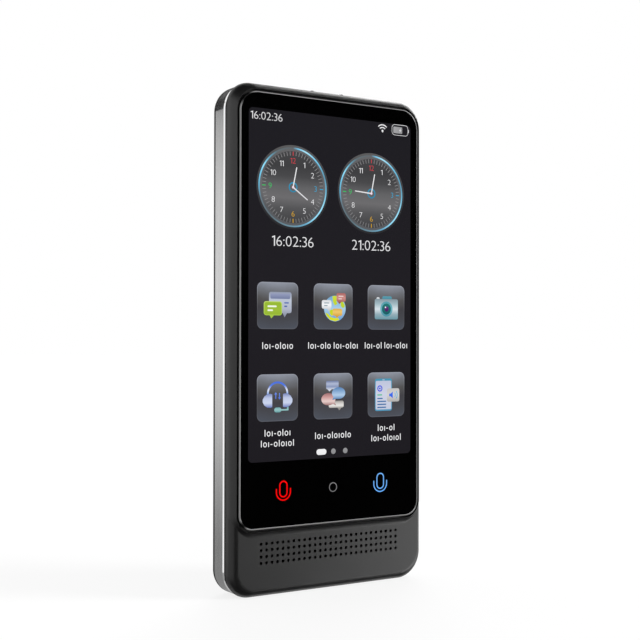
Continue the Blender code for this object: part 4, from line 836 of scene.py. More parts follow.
class Drawing:
    # Flat shapes that make one piece of the display. Each takes the name of its paint and its level.
    def __init__(self, name, centre):
        self.name = name
        self.centre = centre
        self.work = bmesh.new()
        self.paints = []

    def indexOf(self, paint):
        if paint not in self.paints:
            self.paints.append(paint)
        return self.paints.index(paint)

    def depths(self, level):
        back = glass["face"] - display["step"] * level
        return back, back - display["step"]

    def moved(self, points, depth):
        return [(x + self.centre[0], depth, z + self.centre[1]) for x, z in points]

    def shape(self, paint, level, outer, inner=None):
        # a plate, or with an inner outline a ring
        back, front = self.depths(level)
        rings = [self.moved(outer, back), self.moved(outer, front)]
        if inner:
            rings += [self.moved(inner, front), self.moved(inner, back)]
        addLoft(self.work, rings, bool(inner), self.indexOf(paint))

    def disc(self, paint, level, x, z, radius, sides=48, tall=None):
        self.shape(paint, level, oval(x, z, radius, tall or radius, sides))

    def hoop(self, paint, level, x, z, radius, stroke, sides=72):
        inner = radius - stroke
        self.shape(paint, level, oval(x, z, radius, radius, sides), oval(x, z, inner, inner, sides))

    def box(self, paint, level, left, right, low, high, radius):
        self.shape(paint, level, roundedBox(left, right, low, high, radius, 6))

    def hollow(self, paint, level, *sizes):
        self.shape(paint, level, *boxPair(*sizes))

    def bubble(self, paint, level, left, right, low, high, tipX, tipZ, radius=0.6):
        # a speech bubble: a rounded box with a pointed tail on its lower edge
        self.box(paint, level, left, right, low, high, radius)
        self.shape(paint, level, [(tipX - 0.55, low + 0.01), (tipX, tipZ), (tipX + 0.75, low + 0.01)])

    def stroke(self, paint, level, start, end, width, taper):
        # a straight line with round ends
        along = Vector(end) - Vector(start)
        angle = math.degrees(math.atan2(along.y, along.x))
        points = arc(*end, width * taper / 2, angle - 90, 6, 180) + arc(*start, width / 2, angle + 90, 6, 180)
        self.shape(paint, level, points)

    def bow(self, paint, level, x, z, radius, stroke, start, sweep, steps=20):
        # part of a hoop
        outer, inner = (arc(x, z, reach, start, steps, sweep) for reach in (radius, radius - stroke))
        self.shape(paint, level, outer + inner[::-1])

    def write(self, paint, level, words, height, x, z):
        # plain numerals, side by side, with their middle at the place
        glyphs = [numeral(letter) for letter in words]
        widths = [max(px for px, pz in places) * figures["wide"] for places, faces in glyphs]
        left = x - height * (sum(widths) + figures["gap"] * (len(words) - 1)) / 2
        made = []
        for (places, faces), width in zip(glyphs, widths):
            points = [(left + px * figures["wide"] * height, z + (pz - 0.5) * height) for px, pz in places]
            back, front = ([self.work.verts.new(spot(*point)) for point in self.moved(points, depth)]
                           for depth in self.depths(level))
            for layer in (back, front):
                made += [self.work.faces.new([layer[i] for i in face]) for face in faces]
            edges = {(a, b) for face in faces for a, b in zip(face, face[1:] + face[:1])}
            for a, b in edges:
                if (b, a) not in edges:
                    made.append(self.work.faces.new((back[a], back[b], front[b], front[a])))
            left += (width + figures["gap"]) * height
        for face in made:
            face.material_index = self.indexOf(paint)

    def marks(self, paint, level, counts, z):
        # a stand-in for a line of words: small rings, posts and dashes in groups
        pattern, space, gap, wall = (markSizes[name] for name in ("pattern", "space", "gap", "stroke"))
        groups = [[pattern[index % len(pattern)] for index in range(count)] for count in counts]
        total = sum(markSizes[mark][0] + space for group in groups for mark in group) - space
        left, foot = -(total + gap * (len(counts) - 1)) / 2, z - markSizes["middle"]
        for group in groups:
            for mark in group:
                wide, low, high = markSizes[mark]
                sizes = (left, left + wide, foot + low, foot + high)
                if mark == "ring":
                    self.hollow(paint, level, *sizes, wide * markSizes["ringRound"], wall, 5)
                else:
                    self.box(paint, level, *sizes, min(wide, high - low) * markSizes["endRound"])
                left += wide + space
            left += gap

    def add(self, rows):
        # each row says the kind of shape, its paint, its level and its sizes
        for kind, *rest in rows:
            getattr(self, kind)(*rest)
        return self

    def done(self, slotName="display_panel"):
        made = toObject(self.name, self.work, spot(self.centre[0], 0, self.centre[1]))
        for paint in self.paints:
            made.data.materials.append(paints[paint])
        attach(made, "handset")


# Ground of the display, and the line at its top: a time, a fan of waves and a cell with its charge

middle = (display["low"] + display["high"]) / 2
tall = (display["high"] - display["low"]) / 2
lit("groundGlow", -tall, tall, (28, 26, 31), (30, 28, 33), (28, 27, 32), grain=0.3)
ground = ("box", "groundGlow", 0, display["left"], display["right"], -tall, tall, display["radius"])
Drawing("displayGround", (0.0, middle)).add([ground]).done()

lit("statusWhite", -1, 1, (226, 226, 228), (240, 240, 242))
lit("statusGrey", 19.5, 22.6, (164, 164, 166), (148, 148, 150), axis="x")
lit("statusSpark", -1, 1, (214, 214, 216), (222, 222, 224))
statusShapes = (
    ("write", "statusWhite", 1, "16:02:36", 1.95, -20.2, -0.3),
    ("shape", "statusWhite", 1, [(15.98, -1.13), *arc(15.98, -0.63, 0.33, -20, 10, 220)]),
    ("bow", "statusWhite", 1, 15.98, -0.93, 1.36, 0.29, 45, 90),
    ("bow", "statusWhite", 1, 15.98, -0.93, 2.08, 0.29, 45, 90),
    ("hollow", "statusWhite", 1, 19.1, 24.6, -1.42, 1.54, 0.95, 0.12, 6),
    ("box", "statusGrey", 1, 19.6, 22.6, -0.86, 0.92, 0.25),
    ("box", "statusWhite", 1, 24.65, 24.84, -0.42, 0.42, 0.09),
    ("shape", "statusSpark", 2, [(22.18, 0.7), (21.48, -0.1), (21.88, -0.1), (21.66, -0.7), (22.36, 0.12),
                                 (21.96, 0.12)]),
)
Drawing("statusLine", (0.0, 122.55)).add(statusShapes).done()


# Two clocks with numbered dials

clocks = dict(
    rim=10.86, hoop=10.3, hoopStroke=0.4, dial=9.3, tickOut=9.2, tickIn=8.15, tickWidth=0.125, mainTick=1.7,
    numberAt=6.85, numberHeight=1.4, labelAt=-14.0, labelHeight=2.62,
    hub=1.32, hubStroke=0.34, pin=0.34, hand=5.25, handWidth=0.34, handTaper=0.8,
    quarters=("clockRed", "clockCyan", "clockAmber", "clockGreen"),
    left=((-12.32, 104.66), (12.0, 124.5), "16:02:36"), right=((12.32, 104.66), (11.5, 274.0), "21:02:36"),
    glow=((0.0, 108, 146, 164), (0.05, 102, 132, 146), (0.12, 94, 110, 118), (0.2, 102, 122, 134),
          (0.25, 100, 174, 206), (0.3, 120, 206, 240), (0.335, 150, 228, 255), (0.375, 102, 168, 194),
          (0.42, 96, 110, 116), (0.5, 98, 102, 106), (0.525, 120, 196, 232), (0.56, 174, 234, 255),
          (0.62, 118, 206, 242), (0.7, 96, 150, 176), (0.75, 108, 180, 210), (0.83, 160, 230, 255),
          (0.89, 150, 224, 252), (0.94, 106, 170, 202), (1.0, 108, 146, 164)),
)


def clockPaints():
    span = (-clocks["rim"], clocks["rim"])
    lit("clockRim", *span, (42, 42, 45), (48, 48, 51), (62, 62, 65), (70, 70, 72), (92, 92, 93))
    lit("clockStep", *span, (92, 94, 98), (88, 90, 94), (108, 108, 110), (90, 90, 93), (104, 104, 106))
    lit("clockDial", *span, (66, 66, 68), (70, 70, 72), (84, 84, 86), (108, 107, 109), (98, 98, 100),
        (72, 72, 74), (62, 62, 64), (66, 66, 68), (72, 72, 74), grain=0.02)
    lit("clockTick", *span, (142, 142, 144), (160, 158, 160))
    lit("clockWhite", -14, 10, (232, 232, 234), (242, 242, 244))
    lit("clockRed", *span, (196, 58, 66), (208, 68, 76))
    lit("clockCyan", *span, (44, 160, 204), (52, 172, 214))
    lit("clockAmber", *span, (214, 164, 20), (222, 172, 30))
    lit("clockGreen", *span, (44, 190, 92), (52, 204, 104))
    lit("clockHub", -1.3, 1.3, (40, 132, 168), (48, 150, 190))
    lit("clockHand", -5, 5, (222, 222, 226), (238, 238, 240))
    lit("clockPin", -0.4, 0.4, (236, 208, 228), (246, 226, 240))
    # the lit ring is bright to the right and at the upper left, and dim below
    finish = Finish("clockHoop")
    x, z = finish.axes("xz")
    turn = finish.node("Math", {"operation": "ARCTAN2"}, {0: x, 1: z})  # 0 at the top, clockwise
    stops = [(place, linear(*colour)) for place, *colour in clocks["glow"]]
    paints["clockHoop"] = finish.glow(finish.ramp(finish.limit(turn, -math.pi, math.pi), stops))


def onDial(radius, degrees, aside=0.0):
    # a point on the dial, with the turn counted clockwise from the top
    side, up = math.sin(math.radians(degrees)), math.cos(math.radians(degrees))
    return side * radius + up * aside, up * radius - side * aside


def clockFace(name, centre, hands, label):
    face = Drawing(name, centre)
    inner, quarters = clocks["hoop"] - clocks["hoopStroke"], clocks["quarters"]
    face.disc("clockRim", 1, 0, 0, clocks["rim"], 96)
    face.disc("clockDial", 2, 0, 0, clocks["dial"], 96)
    face.hoop("clockHoop", 2, 0, 0, clocks["hoop"], clocks["hoopStroke"], 120)
    face.hoop("clockStep", 2, 0, 0, inner, inner - clocks["dial"], 96)
    for tick in range(60):
        quarter, rest = divmod(tick, 15)
        paint, swell = ("clockTick", 1.0) if rest else (quarters[quarter], clocks["mainTick"])
        half, near, far = clocks["tickWidth"] * swell / 2, clocks["tickIn"], clocks["tickOut"]
        corners = ((near, -half), (far, -half), (far, half), (near, half))
        face.shape(paint, 3, [onDial(radius, tick * 6, aside) for radius, aside in corners])
    for number in range(1, 13):
        quarter, rest = divmod(number, 3)
        paint = "clockWhite" if rest else quarters[quarter % 4]
        face.write(paint, 3, str(number), clocks["numberHeight"], *onDial(clocks["numberAt"], number * 30))
    face.hoop("clockHub", 3, 0, 0, clocks["hub"], clocks["hubStroke"], 40)
    for hand in hands:
        end = onDial(clocks["hand"], hand)
        face.stroke("clockHand", 4, (0, 0), end, clocks["handWidth"], clocks["handTaper"])
    face.disc("clockPin", 5, 0, 0, clocks["pin"], 20)
    face.write("clockWhite", 1, label, clocks["labelHeight"], 0, clocks["labelAt"])
    face.done()


clockPaints()
clockFace("clockLeft", *clocks["left"])
clockFace("clockRight", *clocks["right"])
print("stage: clocks done")


# Six tiles, each with a plain pictogram and a label of marks

tiles = dict(
    columns=(-16.83, 0.12, 17.25), rows=(74.07, 50.57), half=6.08, tall=5.98, radius=1.55, edge=0.16,
    labelDrops=((10.25,), (8.95, 11.65)),
)
tilePaints = dict(
    tileEdge=(-6.1, 6.1, (96, 99, 108), (82, 82, 87), (80, 80, 85), (104, 104, 108), (132, 135, 143),
              (158, 162, 174)),
    labelWhite=(-14, -9, (244, 244, 247), (250, 250, 252)),
    speechSilver=(-3.0, 3.6, (126, 132, 150), (178, 184, 202), (190, 198, 214), (142, 150, 172)),
    speechGreen=(-3.3, 1.1, (144, 176, 46), (158, 190, 58), (148, 184, 50)),
    speechRim=(-3.3, 1.1, (160, 196, 60), (190, 216, 104)),
    speechLine=(-2, 1, (236, 246, 222), (246, 250, 236)),
    speechShade=(1.7, 3.1, (112, 122, 158), (150, 158, 190)),
    speechBlue=(0, 1, (88, 108, 168), (108, 128, 186)),
    globeSea=(-3.9, 2.9, (96, 150, 206), (168, 206, 232), (112, 164, 204)),
    globeLand=(-3.9, 2.9, (222, 228, 42), (186, 208, 48), (206, 222, 60)),
    globeWhite=(-0.9, 1.8, (200, 202, 206), (246, 247, 249), (214, 216, 220)),
    globeRose=(1.0, 3.7, (150, 86, 84), (206, 142, 136), (168, 98, 96)),
    globeAmber=(-2.5, -0.3, (214, 160, 62), (240, 200, 110), (216, 166, 72)),
    globeMark=(0, 2, (126, 150, 160), (140, 160, 170)),
    globePale=(2, 3, (236, 214, 210), (240, 222, 218)),
    camShell=(-3.2, 2.3, (104, 150, 164), (148, 174, 184), (214, 226, 232), (164, 188, 196), (132, 150, 160)),
    camTop=(1.9, 3.1, (60, 126, 146), (92, 160, 178)),
    camKnob=(2, 2.8, (190, 198, 204), (222, 226, 230)),
    camRing=(-2.4, 1.6, (70, 142, 160), (110, 180, 192), (84, 156, 170)),
    camGlass=(-1.9, 1.1, (20, 92, 98), (36, 120, 118)),
    camPupil=(-1.1, 0.3, (70, 26, 92), (104, 52, 128)),
    camSpark=(-0.2, 0.3, (236, 238, 244), (246, 246, 250)),
    cupSilver=(-2.5, 1.1, (100, 118, 188), (204, 214, 238), (190, 200, 230), (112, 128, 184)),
    archBlue=(0.9, 4.2, (132, 172, 240), (226, 232, 246), (84, 124, 228), (72, 108, 220)),
    arrowBlue=(-0.6, 1.4, (84, 116, 220), (110, 146, 240)),
    boomTeal=(-3.8, -2.4, (90, 150, 156), (150, 196, 196), (112, 168, 172)),
    groupSilver=(1.7, 4.0, (208, 214, 228), (136, 150, 186), (176, 186, 212), (104, 118, 158)),
    groupBlue=(-0.8, 2.3, (96, 138, 186), (176, 204, 232), (132, 168, 208), (86, 128, 180)),
    groupRose=(-2.4, 0.8, (152, 104, 104), (232, 206, 202), (206, 156, 154), (156, 108, 110)),
    groupPale=(-3.2, -1.2, (150, 146, 142), (232, 230, 226), (204, 200, 196), (140, 136, 132)),
    pageFrame=(-4.4, 4.3, (84, 150, 186), (96, 172, 204), (70, 148, 178)),
    pagePaper=(-4, 4, (196, 202, 222), (206, 210, 228), (190, 196, 220)),
    pageInk=(-4, 2, (52, 104, 160), (62, 116, 172)),
    pageMark=(0.8, 2.5, (54, 70, 214), (70, 90, 226)),
    pageGreen=(-1, 1, (58, 180, 132), (78, 200, 150)),
    pageCard=(-2.0, 1.6, (176, 174, 172), (212, 210, 208), (198, 196, 196)),
    pageSound=(-1.2, 0.9, (44, 92, 226), (70, 120, 240)),
    pageWave=(-1, 1, (70, 170, 214), (90, 186, 226)),
)
cup = ((1.6, 0.9), (2.1, 1.05), (3.1, 0.95), (3.9, 0.4), (4.4, -0.4), (4.4, -1.1), (3.9, -1.9), (3.1, -2.4),
       (2.1, -2.5), (1.6, -2.35))
# each tile has its column and row, the marks in each line of its label, and its shapes
tilePlans = dict(
    speechTile=((0, 0), ((9,),), (
        ("bubble", "speechSilver", 3, -2.6, 4.1, -1.9, 3.5, 2.0, -3.0),
        ("box", "speechShade", 4, -2.2, 3.7, 1.75, 3.1, 0.35),
        ("box", "speechBlue", 4, 1.9, 3.3, 0.55, 0.95, 0.18),
        ("box", "speechBlue", 4, 1.9, 2.8, -0.35, 0.05, 0.18),
        ("bubble", "speechRim", 5, -4.15, 1.25, -2.5, 1.1, -1.9, -3.3, 0.7),
        ("box", "speechGreen", 5.5, -3.9, 1.0, -2.28, 0.85, 0.5),
        ("box", "speechLine", 6, -3.05, -0.35, -0.42, 0.02, 0.2),
        ("box", "speechLine", 6, -3.05, -1.45, -1.42, -0.98, 0.2),
    )),
    globeTile=((1, 0), ((7, 8),), (
        ("disc", "globeSea", 3, 0.5, -0.5, 3.4),
        ("shape", "globeLand", 4, [(-0.3, 2.75), (0.9, 2.85), (1.4, 2.2), (1.0, 1.4), (1.3, 0.7), (0.5, 0.3),
                                   (-0.1, 1.2)]),
        ("shape", "globeLand", 4, [(2.2, 1.3), (3.1, 1.3), (3.7, 0.2), (3.1, -0.4), (2.4, 0.1)]),
        ("shape", "globeLand", 4, [(-2.55, -1.6), (-1.6, -1.9), (-0.9, -2.7), (0.2, -3.0), (1.6, -3.0),
                                   (1.9, -3.5), (0.6, -3.86), (-1.0, -3.5), (-2.1, -2.5)]),
        ("shape", "globeLand", 4, [(-1.2, -1.0), (-0.3, -0.7), (0.1, -1.7), (-0.4, -2.6), (-1.1, -1.9)]),
        ("bubble", "globeWhite", 5, -3.6, -0.6, -0.6, 1.7, -1.4, -1.3, 0.55),
        ("bubble", "globeRose", 5, 1.0, 3.9, 1.3, 3.6, 1.9, 0.7, 0.5),
        ("bubble", "globeAmber", 5, -0.2, 2.8, -2.4, -0.5, 1.1, -3.0, 0.45),
        ("box", "globeMark", 6, -2.9, -1.3, 0.8, 1.05, 0.12),
        ("box", "globeMark", 6, -2.9, -1.8, 0.1, 0.35, 0.12),
        ("box", "globePale", 6, 1.6, 3.2, 2.65, 2.9, 0.12),
        ("box", "globePale", 6, 1.6, 2.7, 1.95, 2.2, 0.12),
    )),
    cameraTile=((2, 0), ((6, 8),), (
        ("box", "camTop", 3, -1.3, 1.85, 1.9, 3.05, 0.4),
        ("box", "camKnob", 3, -3.2, -2.2, 2.0, 2.75, 0.3),
        ("box", "camShell", 4, -3.8, 3.9, -3.2, 2.3, 0.5),
        ("disc", "camRing", 5, 0.05, -0.4, 2.05),
        ("disc", "camGlass", 6, 0.05, -0.4, 1.5),
        ("disc", "camPupil", 6.5, 0.1, -0.4, 0.72, 24),
        ("disc", "camSpark", 6.9, -0.25, 0.05, 0.22, 14),
    )),
    headsetTile=((0, 1), ((8,), (10,)), (
        ("bow", "archBlue", 3, 0, 1.0, 3.15, 0.5, 0, 180, 32),
        ("shape", "cupSilver", 4, [(-x, z) for x, z in cup]),
        ("shape", "cupSilver", 4, cup),
        ("box", "arrowBlue", 3, -0.68, -0.42, -0.3, 1.2, 0.1),
        ("shape", "arrowBlue", 4, [(-0.97, 0.85), (-0.55, 1.4), (-0.13, 0.85)]),
        ("box", "arrowBlue", 3, 0.42, 0.68, -0.3, 1.2, 0.1),
        ("shape", "arrowBlue", 4, [(0.13, 0.05), (0.55, -0.5), (0.97, 0.05)]),
        ("box", "boomTeal", 3, 2.75, 3.25, -3.25, -2.3, 0.2),
        ("box", "boomTeal", 3, 0.6, 3.25, -3.35, -2.95, 0.18),
        ("box", "boomTeal", 4, -1.0, 1.1, -3.75, -2.5, 0.6),
    )),
    groupTile=((1, 1), ((11,),), (
        ("bubble", "groupSilver", 3, -2.2, 1.7, 1.8, 4.0, -1.2, 1.2, 0.35),
        ("bubble", "groupPale", 3, -1.4, 3.3, -3.1, -1.25, 1.9, -3.8, 0.5),
        ("disc", "groupBlue", 5, 1.7, 0.75, 2.1, 40, 1.55),
        ("shape", "groupBlue", 5, [(0.2, 0.0), (-0.3, -1.05), (1.1, -0.7)]),
        ("disc", "groupRose", 4, -1.5, -0.8, 2.2, 40, 1.6),
        ("shape", "groupRose", 4, [(-0.4, -1.9), (0.9, -2.5), (0.3, -1.3)]),
    )),
    pageTile=((2, 1), ((6,), (10,)), (
        ("box", "pageFrame", 3, -3.7, 1.9, -4.4, 4.3, 0.6),
        ("box", "pagePaper", 4, -3.45, 1.65, -4.0, 3.7, 0.3),
        ("box", "pagePaper", 4, -1.3, -0.5, 3.85, 4.05, 0.1),
        ("hoop", "pageMark", 5, -2.1, 1.65, 0.85, 0.32, 30),
        ("disc", "pageMark", 5, -2.1, 1.65, 0.26, 16),
        ("box", "pageGreen", 5, -2.95, -1.35, -0.25, 0.08, 0.15),
        ("box", "pageInk", 5, -2.95, -1.15, -1.2, -0.88, 0.14),
        *(("box", "pageInk", 5, -2.95, 0.0, low, low + 0.32, 0.14) for low in (-2.0, -2.8, -3.6)),
        ("box", "pageCard", 5, 0.25, 4.4, -2.0, 1.6, 0.55),
        ("shape", "pageSound", 6, [(1.0, -0.55), (1.0, 0.2), (1.5, 0.2), (2.2, 0.75), (2.2, -1.1),
                                   (1.5, -0.55)]),
        ("bow", "pageWave", 6, 2.2, -0.18, 0.95, 0.24, -42, 84, 10),
        ("bow", "pageWave", 6, 2.2, -0.18, 1.6, 0.24, -42, 84, 12),
    )),
)


def allTiles():
    lit("tileGround", -6.1, 6.1, (76, 80, 90), (70, 71, 77), (66, 65, 70), (84, 83, 84), (112, 115, 122),
        (146, 151, 164), grain=0.05, crown=0.0022)
    for name, plan in tilePaints.items():
        lit(name, *plan)
    half, tall, radius, edge = (tiles[part] for part in ("half", "tall", "radius", "edge"))
    for name, ((column, row), lines, shapes) in tilePlans.items():
        tile = Drawing(name, (tiles["columns"][column], tiles["rows"][row]))
        tile.box("tileEdge", 1, -half, half, -tall, tall, radius)
        tile.box("tileGround", 2, edge - half, half - edge, edge - tall, tall - edge, radius - edge)
        tile.add(shapes)
        for drop, counts in zip(tiles["labelDrops"][len(lines) - 1], lines):
            tile.marks("labelWhite", 1, counts, -drop)
        tile.done()


allTiles()
print("stage: tiles done")


# Page dots, and the three lit touch symbols below the display

symbols = dict(
    red=((-15.05, 26.72), 0.35), blue=((15.3, 26.9), 0.3), ring=(0.11, 26.7),
    capsule=(-1.24, 1.24, -1.68, 2.62), capsuleRound=1.2152, cup=2.26, cupLow=-0.26, cupTall=0.75,
)


def talkSymbol(name, paint, centre, stroke):
    # a microphone: an upright capsule in a cup with round ends
    radius, low = symbols["cup"], symbols["cupLow"]
    high, half, middle = low + symbols["cupTall"], stroke / 2, radius - stroke / 2
    cup = arc(0, low, radius, 180, 24, 180) + arc(middle, high, half, 0, 6, 180)
    cup += arc(0, low, radius - stroke, 360, 24, -180) + arc(-middle, high, half, 0, 6, 180)
    capsule = ("hollow", paint, 0, *symbols["capsule"], symbols["capsuleRound"], stroke, 12)
    Drawing(name, centre).add([capsule, ("shape", paint, 0, cup)]).done("led_package")


lit("dotWhite", -1, 1, (236, 236, 238), (244, 244, 246))
lit("dotGrey", -1, 1, (138, 138, 140), (150, 150, 152))
lit("symbolRed", -3, 3, (246, 0, 0), (255, 4, 4))
lit("symbolBlue", -3, 3, (104, 174, 252), (118, 184, 255))
lit("symbolGrey", -1, 1, (134, 134, 136), (150, 150, 152))
dots = (
    ("box", "dotWhite", 1, -5.05, -2.0, -0.75, 0.75, 0.72),
    ("disc", "dotGrey", 1, 0.2, 0, 0.72, 28),
    ("disc", "dotGrey", 1, 3.95, 0, 0.72, 28),
)
Drawing("pageDots", (0.0, 36.08)).add(dots).done()
talkSymbol("talkSymbolRed", "symbolRed", *symbols["red"])
talkSymbol("talkSymbolBlue", "symbolBlue", *symbols["blue"])
home = ("hoop", "symbolGrey", 0, 0, 0, 1.22, 0.17, 60)
Drawing("homeSymbol", symbols["ring"]).add([home]).done("led_package")
print("stage: display done")


# Finishes of the CAD pieces that stay: the inside of the device

def film(name, colour):
    # polyimide with copper tracks that show through
    finish = Finish(name)
    [x] = finish.axes("x")
    tracks = finish.waves(x, 0.69813)
    tone = finish.mix(finish.limit(tracks, -0.2, 0.4), tinted(colour, 0.55), tinted(colour))
    return finish.shade(tone, 0.32, {"Coat Weight": 0.4}, tracks, 0.004, 0.4)


def board(name, colour):
    # solder mask over tracks, with pads
    finish = Finish(name)
    pad = finish.limit(finish.cells(2.2), 0.1, 0.14, 1.0, 0.0)
    tracks = finish.noise(1.1, detail=1.0)
    mask = finish.mix(finish.limit(tracks, 0.46, 0.5), tinted(colour), tinted(colour, 1.8))
    tone = finish.mix(pad, mask, (0.5, 0.36, 0.14, 1.0))
    return finish.shade(tone, 0.42, {"Metallic": pad}, tracks, 0.01, 0.5)


def sheetMetal(name, colour, roughness):
    # stamped or rolled metal with faint scratches
    finish = Finish(name)
    marks = finish.noise(0.3, stretch=(1, 1, 14), detail=3.0)
    tone = finish.mix(finish.noise(5.0), tinted(colour, 0.78), tinted(colour))
    return finish.shade(tone, roughness + (marks - 0.5) * 0.16, {"Metallic": 1.0}, marks, 0.004, 0.4)


def softBlack(name, shade, size, lift):
    # foam, rubber and tape: open pores on a dull ground
    finish = Finish(name)
    pores = finish.cells(size)
    tone = finish.mix(finish.limit(pores, 0.1, 0.6), grey(shade * 0.6), grey(shade * 1.2))
    return finish.shade(tone, 0.88, None, pores, lift, 0.7)


def weave(name, shade, pitch):
    # fine acoustic cloth: threads that cross
    finish = Finish(name)
    warp, weft = (finish.waves(way, pitch) for way in finish.axes("xz"))
    both = warp * weft
    tone = finish.mix(finish.limit(both, -0.6, 0.6), grey(shade * 0.4), grey(shade))
    return finish.shade(tone, 0.7, None, both, 0.02, 0.6)


def foil(name, shade):
    # laminated pouch of the battery, slightly wrinkled
    finish = Finish(name)
    wrinkle = finish.noise(3.5, stretch=(1, 1, 2.5), detail=3.0)
    tone = finish.mix(wrinkle, grey(shade * 0.8), grey(shade * 1.25))
    return finish.shade(tone, 0.38, {"Metallic": 0.35}, wrinkle, 0.12, 0.6)


def lamp(name):
    # small lamp package with a phosphor window
    finish = Finish(name)
    spots = finish.cells(0.5)
    tone = finish.mix(finish.limit(spots, 0.2, 0.5), (0.85, 0.7, 0.12, 1.0), (0.72, 0.72, 0.66, 1.0))
    return finish.shade(tone, 0.35, None, spots, 0.01, 0.4)


insideFinishes = dict(
    adhesive_tape=softBlack("adhesiveTape", 0.03, 0.5, 0.02),
    display_panel=mouldedPlastic("displayPanel", 0.02, 0.2, 0.25, 0.004),
    flex_film=film("flexFilm", (0.3, 0.12, 0.03)),
    board_black=board("touchBoard", (0.012, 0.02, 0.016)),
    led_package=lamp("lampPackage"),
    midframe_alloy=sheetMetal("midframeAlloy", (0.42, 0.42, 0.43), 0.45),
    battery_foil=foil("batteryFoil", 0.1),
    board_green=board("boardGreen", (0.008, 0.06, 0.026)),
    shield_tin=sheetMetal("shieldTin", (0.52, 0.52, 0.5), 0.34),
    chip_black=mouldedPlastic("chipBlack", 0.02, 0.42, 0.25, 0.004),
    camera_black=mouldedPlastic("cameraBlack", 0.02, 0.36, 0.25, 0.004),
    antenna_film=film("antennaFilm", (0.5, 0.3, 0.12)),
    mic_can=sheetMetal("microphoneCan", (0.6, 0.52, 0.34), 0.34),
    boot_rubber=softBlack("bootRubber", 0.03, 0.3, 0.01),
    switch_steel=sheetMetal("switchSteel", (0.46, 0.46, 0.47), 0.34),
    motor_steel=sheetMetal("motorSteel", (0.42, 0.42, 0.43), 0.34),
    speaker_mesh=weave("speakerWeave", 0.03, 0.22),
    gasket_foam=softBlack("gasketFoam", 0.03, 0.4, 0.05),
    speaker_case=mouldedPlastic("speakerCase", 0.04, 0.5, 0.25, 0.004),
    screw_steel=sheetMetal("screwSteel", (0.34, 0.34, 0.35), 0.36),
)
slotOf = {part["node"]: part["material_slot"] for part in frame["record"]["subparts"]}
for node, made in frame["nodes"].items():
    finish = insideFinishes.get(slotOf[node])
    if finish:
        made.data.materials.clear()
        made.data.materials.append(finish)
print("stage: inside finishes done")


# Studio: pale floor, soft lights, and cards that only reflections see

def even(value):
    return (0.0, value), (1.0, value)


studio = dict(
    floorWidth=8.0, floorWhite=0.8, floorGlow=1.087, floorShare=0.74, ambient=0.5,
    view=dict(place=(-172.23, -268.65, 65.975), yaw=32.618, pitch=0.8325, roll=0.081, lens=67.22),
    # the turn from the front towards the right, the rise, the width of the light, its power and its gleam
    suns=(("keyLight", 52, 12, 20, 4.2, False), ("backLight", 140, 30, 40, 1.4, True)),
    # centre, size, the point that the card faces, and its glow from foot to head
    cards=dict(
        frontFlag=((80, -800, 25), (1280, 2100), (80, 0, 25), even(0.0)),
        lowFlag=((0, -170, -400), (1400, 460), (0, -170, 0), even(0.0)),
        leftCard=((-773, -207, 0), (1300, 2000), (0, 0, 0),
                  ((0.0, 0.42), (0.45, 0.48), (0.6, 0.8), (1.0, 0.8))),
        rightCard=((709, -555, -260), (330, 1780), (0, 0, -260), even(3.7)),
        footCard=((0, 6, -3.5), (80, 7), (0, 6, 0), even(0.5)),
        cornerCard=((-60, 300, 431), (520, 168), (-60, 0, 200), even(1.0)),
        lowCard=((-5, 150, -4), (130, 300), (-5, 150, 0), ((0.0, 0.26), (1.0, 0.3))),
        topFlag=((100, -350, 900), (2200, 1700), (100, -350, 0), even(0.0)),
        bandCard=((-207, 359, -48), (270, 504), (-12, 7, -48),
                  ((0.0, 0.2), (0.34, 0.2), (0.39, 0.17), (0.45, 0.21), (0.52, 0.35), (0.65, 0.72),
                   (0.78, 0.9), (0.9, 0.8), (0.985, 0.52), (1.0, 0.5))),
        backFlag=((-10, 540, 700), (940, 990), (-10, 0, 700), even(0.04)),
    ),
)


def softSun(name, turn, rise, angle, power, shines):
    data = bpy.data.lights.new(name, "SUN")
    data.angle = math.radians(angle)
    data.energy = power
    made = bpy.data.objects.new(name, data)
    turn, rise = math.radians(turn), math.radians(rise)
    source = Vector((math.sin(turn) * math.cos(rise), -math.cos(turn) * math.cos(rise), math.sin(rise)))
    made.rotation_euler = source.to_track_quat("Z", "Y").to_euler()
    made.visible_glossy = shines
    scene.collection.objects.link(made)


def sheet(name, width, height, finish):
    # one level face, about the origin
    work = bmesh.new()
    corners = [(x * width / 2, y * height / 2, 0.0) for x, y in ((-1, -1), (1, -1), (1, 1), (-1, 1))]
    work.faces.new([work.verts.new(corner) for corner in corners])
    made = toObject(name, work)
    made.data.materials.append(finish)
    return made


def floor():
    # white to the camera, apart from the shadow under the piece
    finish = Finish("paleFloor")
    camera = finish.node("LightPath", out="Is Camera Ray")
    colour = finish.mix(finish.noise(90.0), grey(studio["floorWhite"]), grey(studio["floorWhite"] * 0.98))
    matte = finish.node("BsdfDiffuse", inputs={"Color": colour})
    glow = finish.node("Emission", inputs={"Color": grey(1.0), "Strength": studio["floorGlow"]})
    mixed = finish.node("MixShader", inputs={0: camera * studio["floorShare"], 1: matte, 2: glow})
    made = sheet("floor", studio["floorWidth"], studio["floorWidth"], finish.surface(mixed))
    made.visible_glossy = False


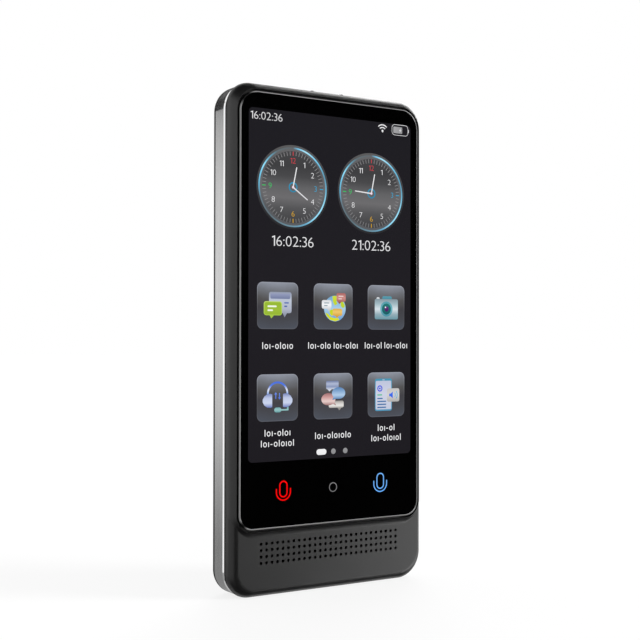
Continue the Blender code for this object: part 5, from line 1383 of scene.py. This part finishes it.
def card(name, centre, size, aim, stops):
    # seen only in reflections
    width, height = size
    finish = Finish(name)
    up = finish.node("SeparateXYZ", inputs={0: finish.place()}, out=1)
    places = [(place, grey(value)) for place, value in stops]
    colour = finish.ramp(finish.limit(up, -height / 2, height / 2), places)
    glow = finish.node("Emission", inputs={"Color": colour, "Strength": 1.0})
    made = sheet(name, width * mm, height * mm, finish.surface(glow))
    made.location = Vector(centre) * mm
    made.rotation_euler = (Vector(aim) - Vector(centre)).to_track_quat("Z", "Y").to_euler()
    for kind in ("camera", "diffuse", "transmission", "volume_scatter", "shadow"):
        setattr(made, "visible_" + kind, False)


def world():
    # reflections and the camera see white, and the pieces get a softer light
    scene.world = bpy.data.worlds.new("studioWorld")
    finish = Finish("studioWorld", scene.world)
    rays = [finish.node("LightPath", out=f"Is {kind} Ray") for kind in ("Camera", "Glossy", "Transmission")]
    soft, white = (finish.node("Background", inputs={"Color": grey(1.0), "Strength": strength})
                   for strength in (studio["ambient"], 1.0))
    mixed = finish.node("MixShader", inputs={0: rays[0] + rays[1] + rays[2], 1: soft, 2: white})
    finish.surface(mixed, "World")


def studioCamera():
    # the place and lens that give the photograph's view
    view = studio["view"]
    yaw, pitch, roll = (math.radians(view[name]) for name in ("yaw", "pitch", "roll"))
    forward = Vector((math.sin(yaw) * math.cos(pitch), math.cos(yaw) * math.cos(pitch), math.sin(pitch)))
    right = Vector((math.cos(yaw), -math.sin(yaw), 0))
    up = right.cross(forward)
    right, up = right * math.cos(roll) + up * math.sin(roll), up * math.cos(roll) - right * math.sin(roll)
    data = bpy.data.cameras.new("studioCamera")
    data.lens = view["lens"]
    data.sensor_width = 36.0
    data.clip_start = 0.01
    data.clip_end = 20.0
    made = bpy.data.objects.new("studioCamera", data)
    turn = Matrix((right, up, -forward)).transposed().to_4x4()
    made.matrix_world = Matrix.Translation(Vector(view["place"]) * mm) @ turn
    scene.collection.objects.link(made)
    scene.camera = made


floor()
world()
studioCamera()
for plan in studio["suns"]:
    softSun(*plan)
for name, plan in studio["cards"].items():
    card(name, *plan)
print("stage: studio done")
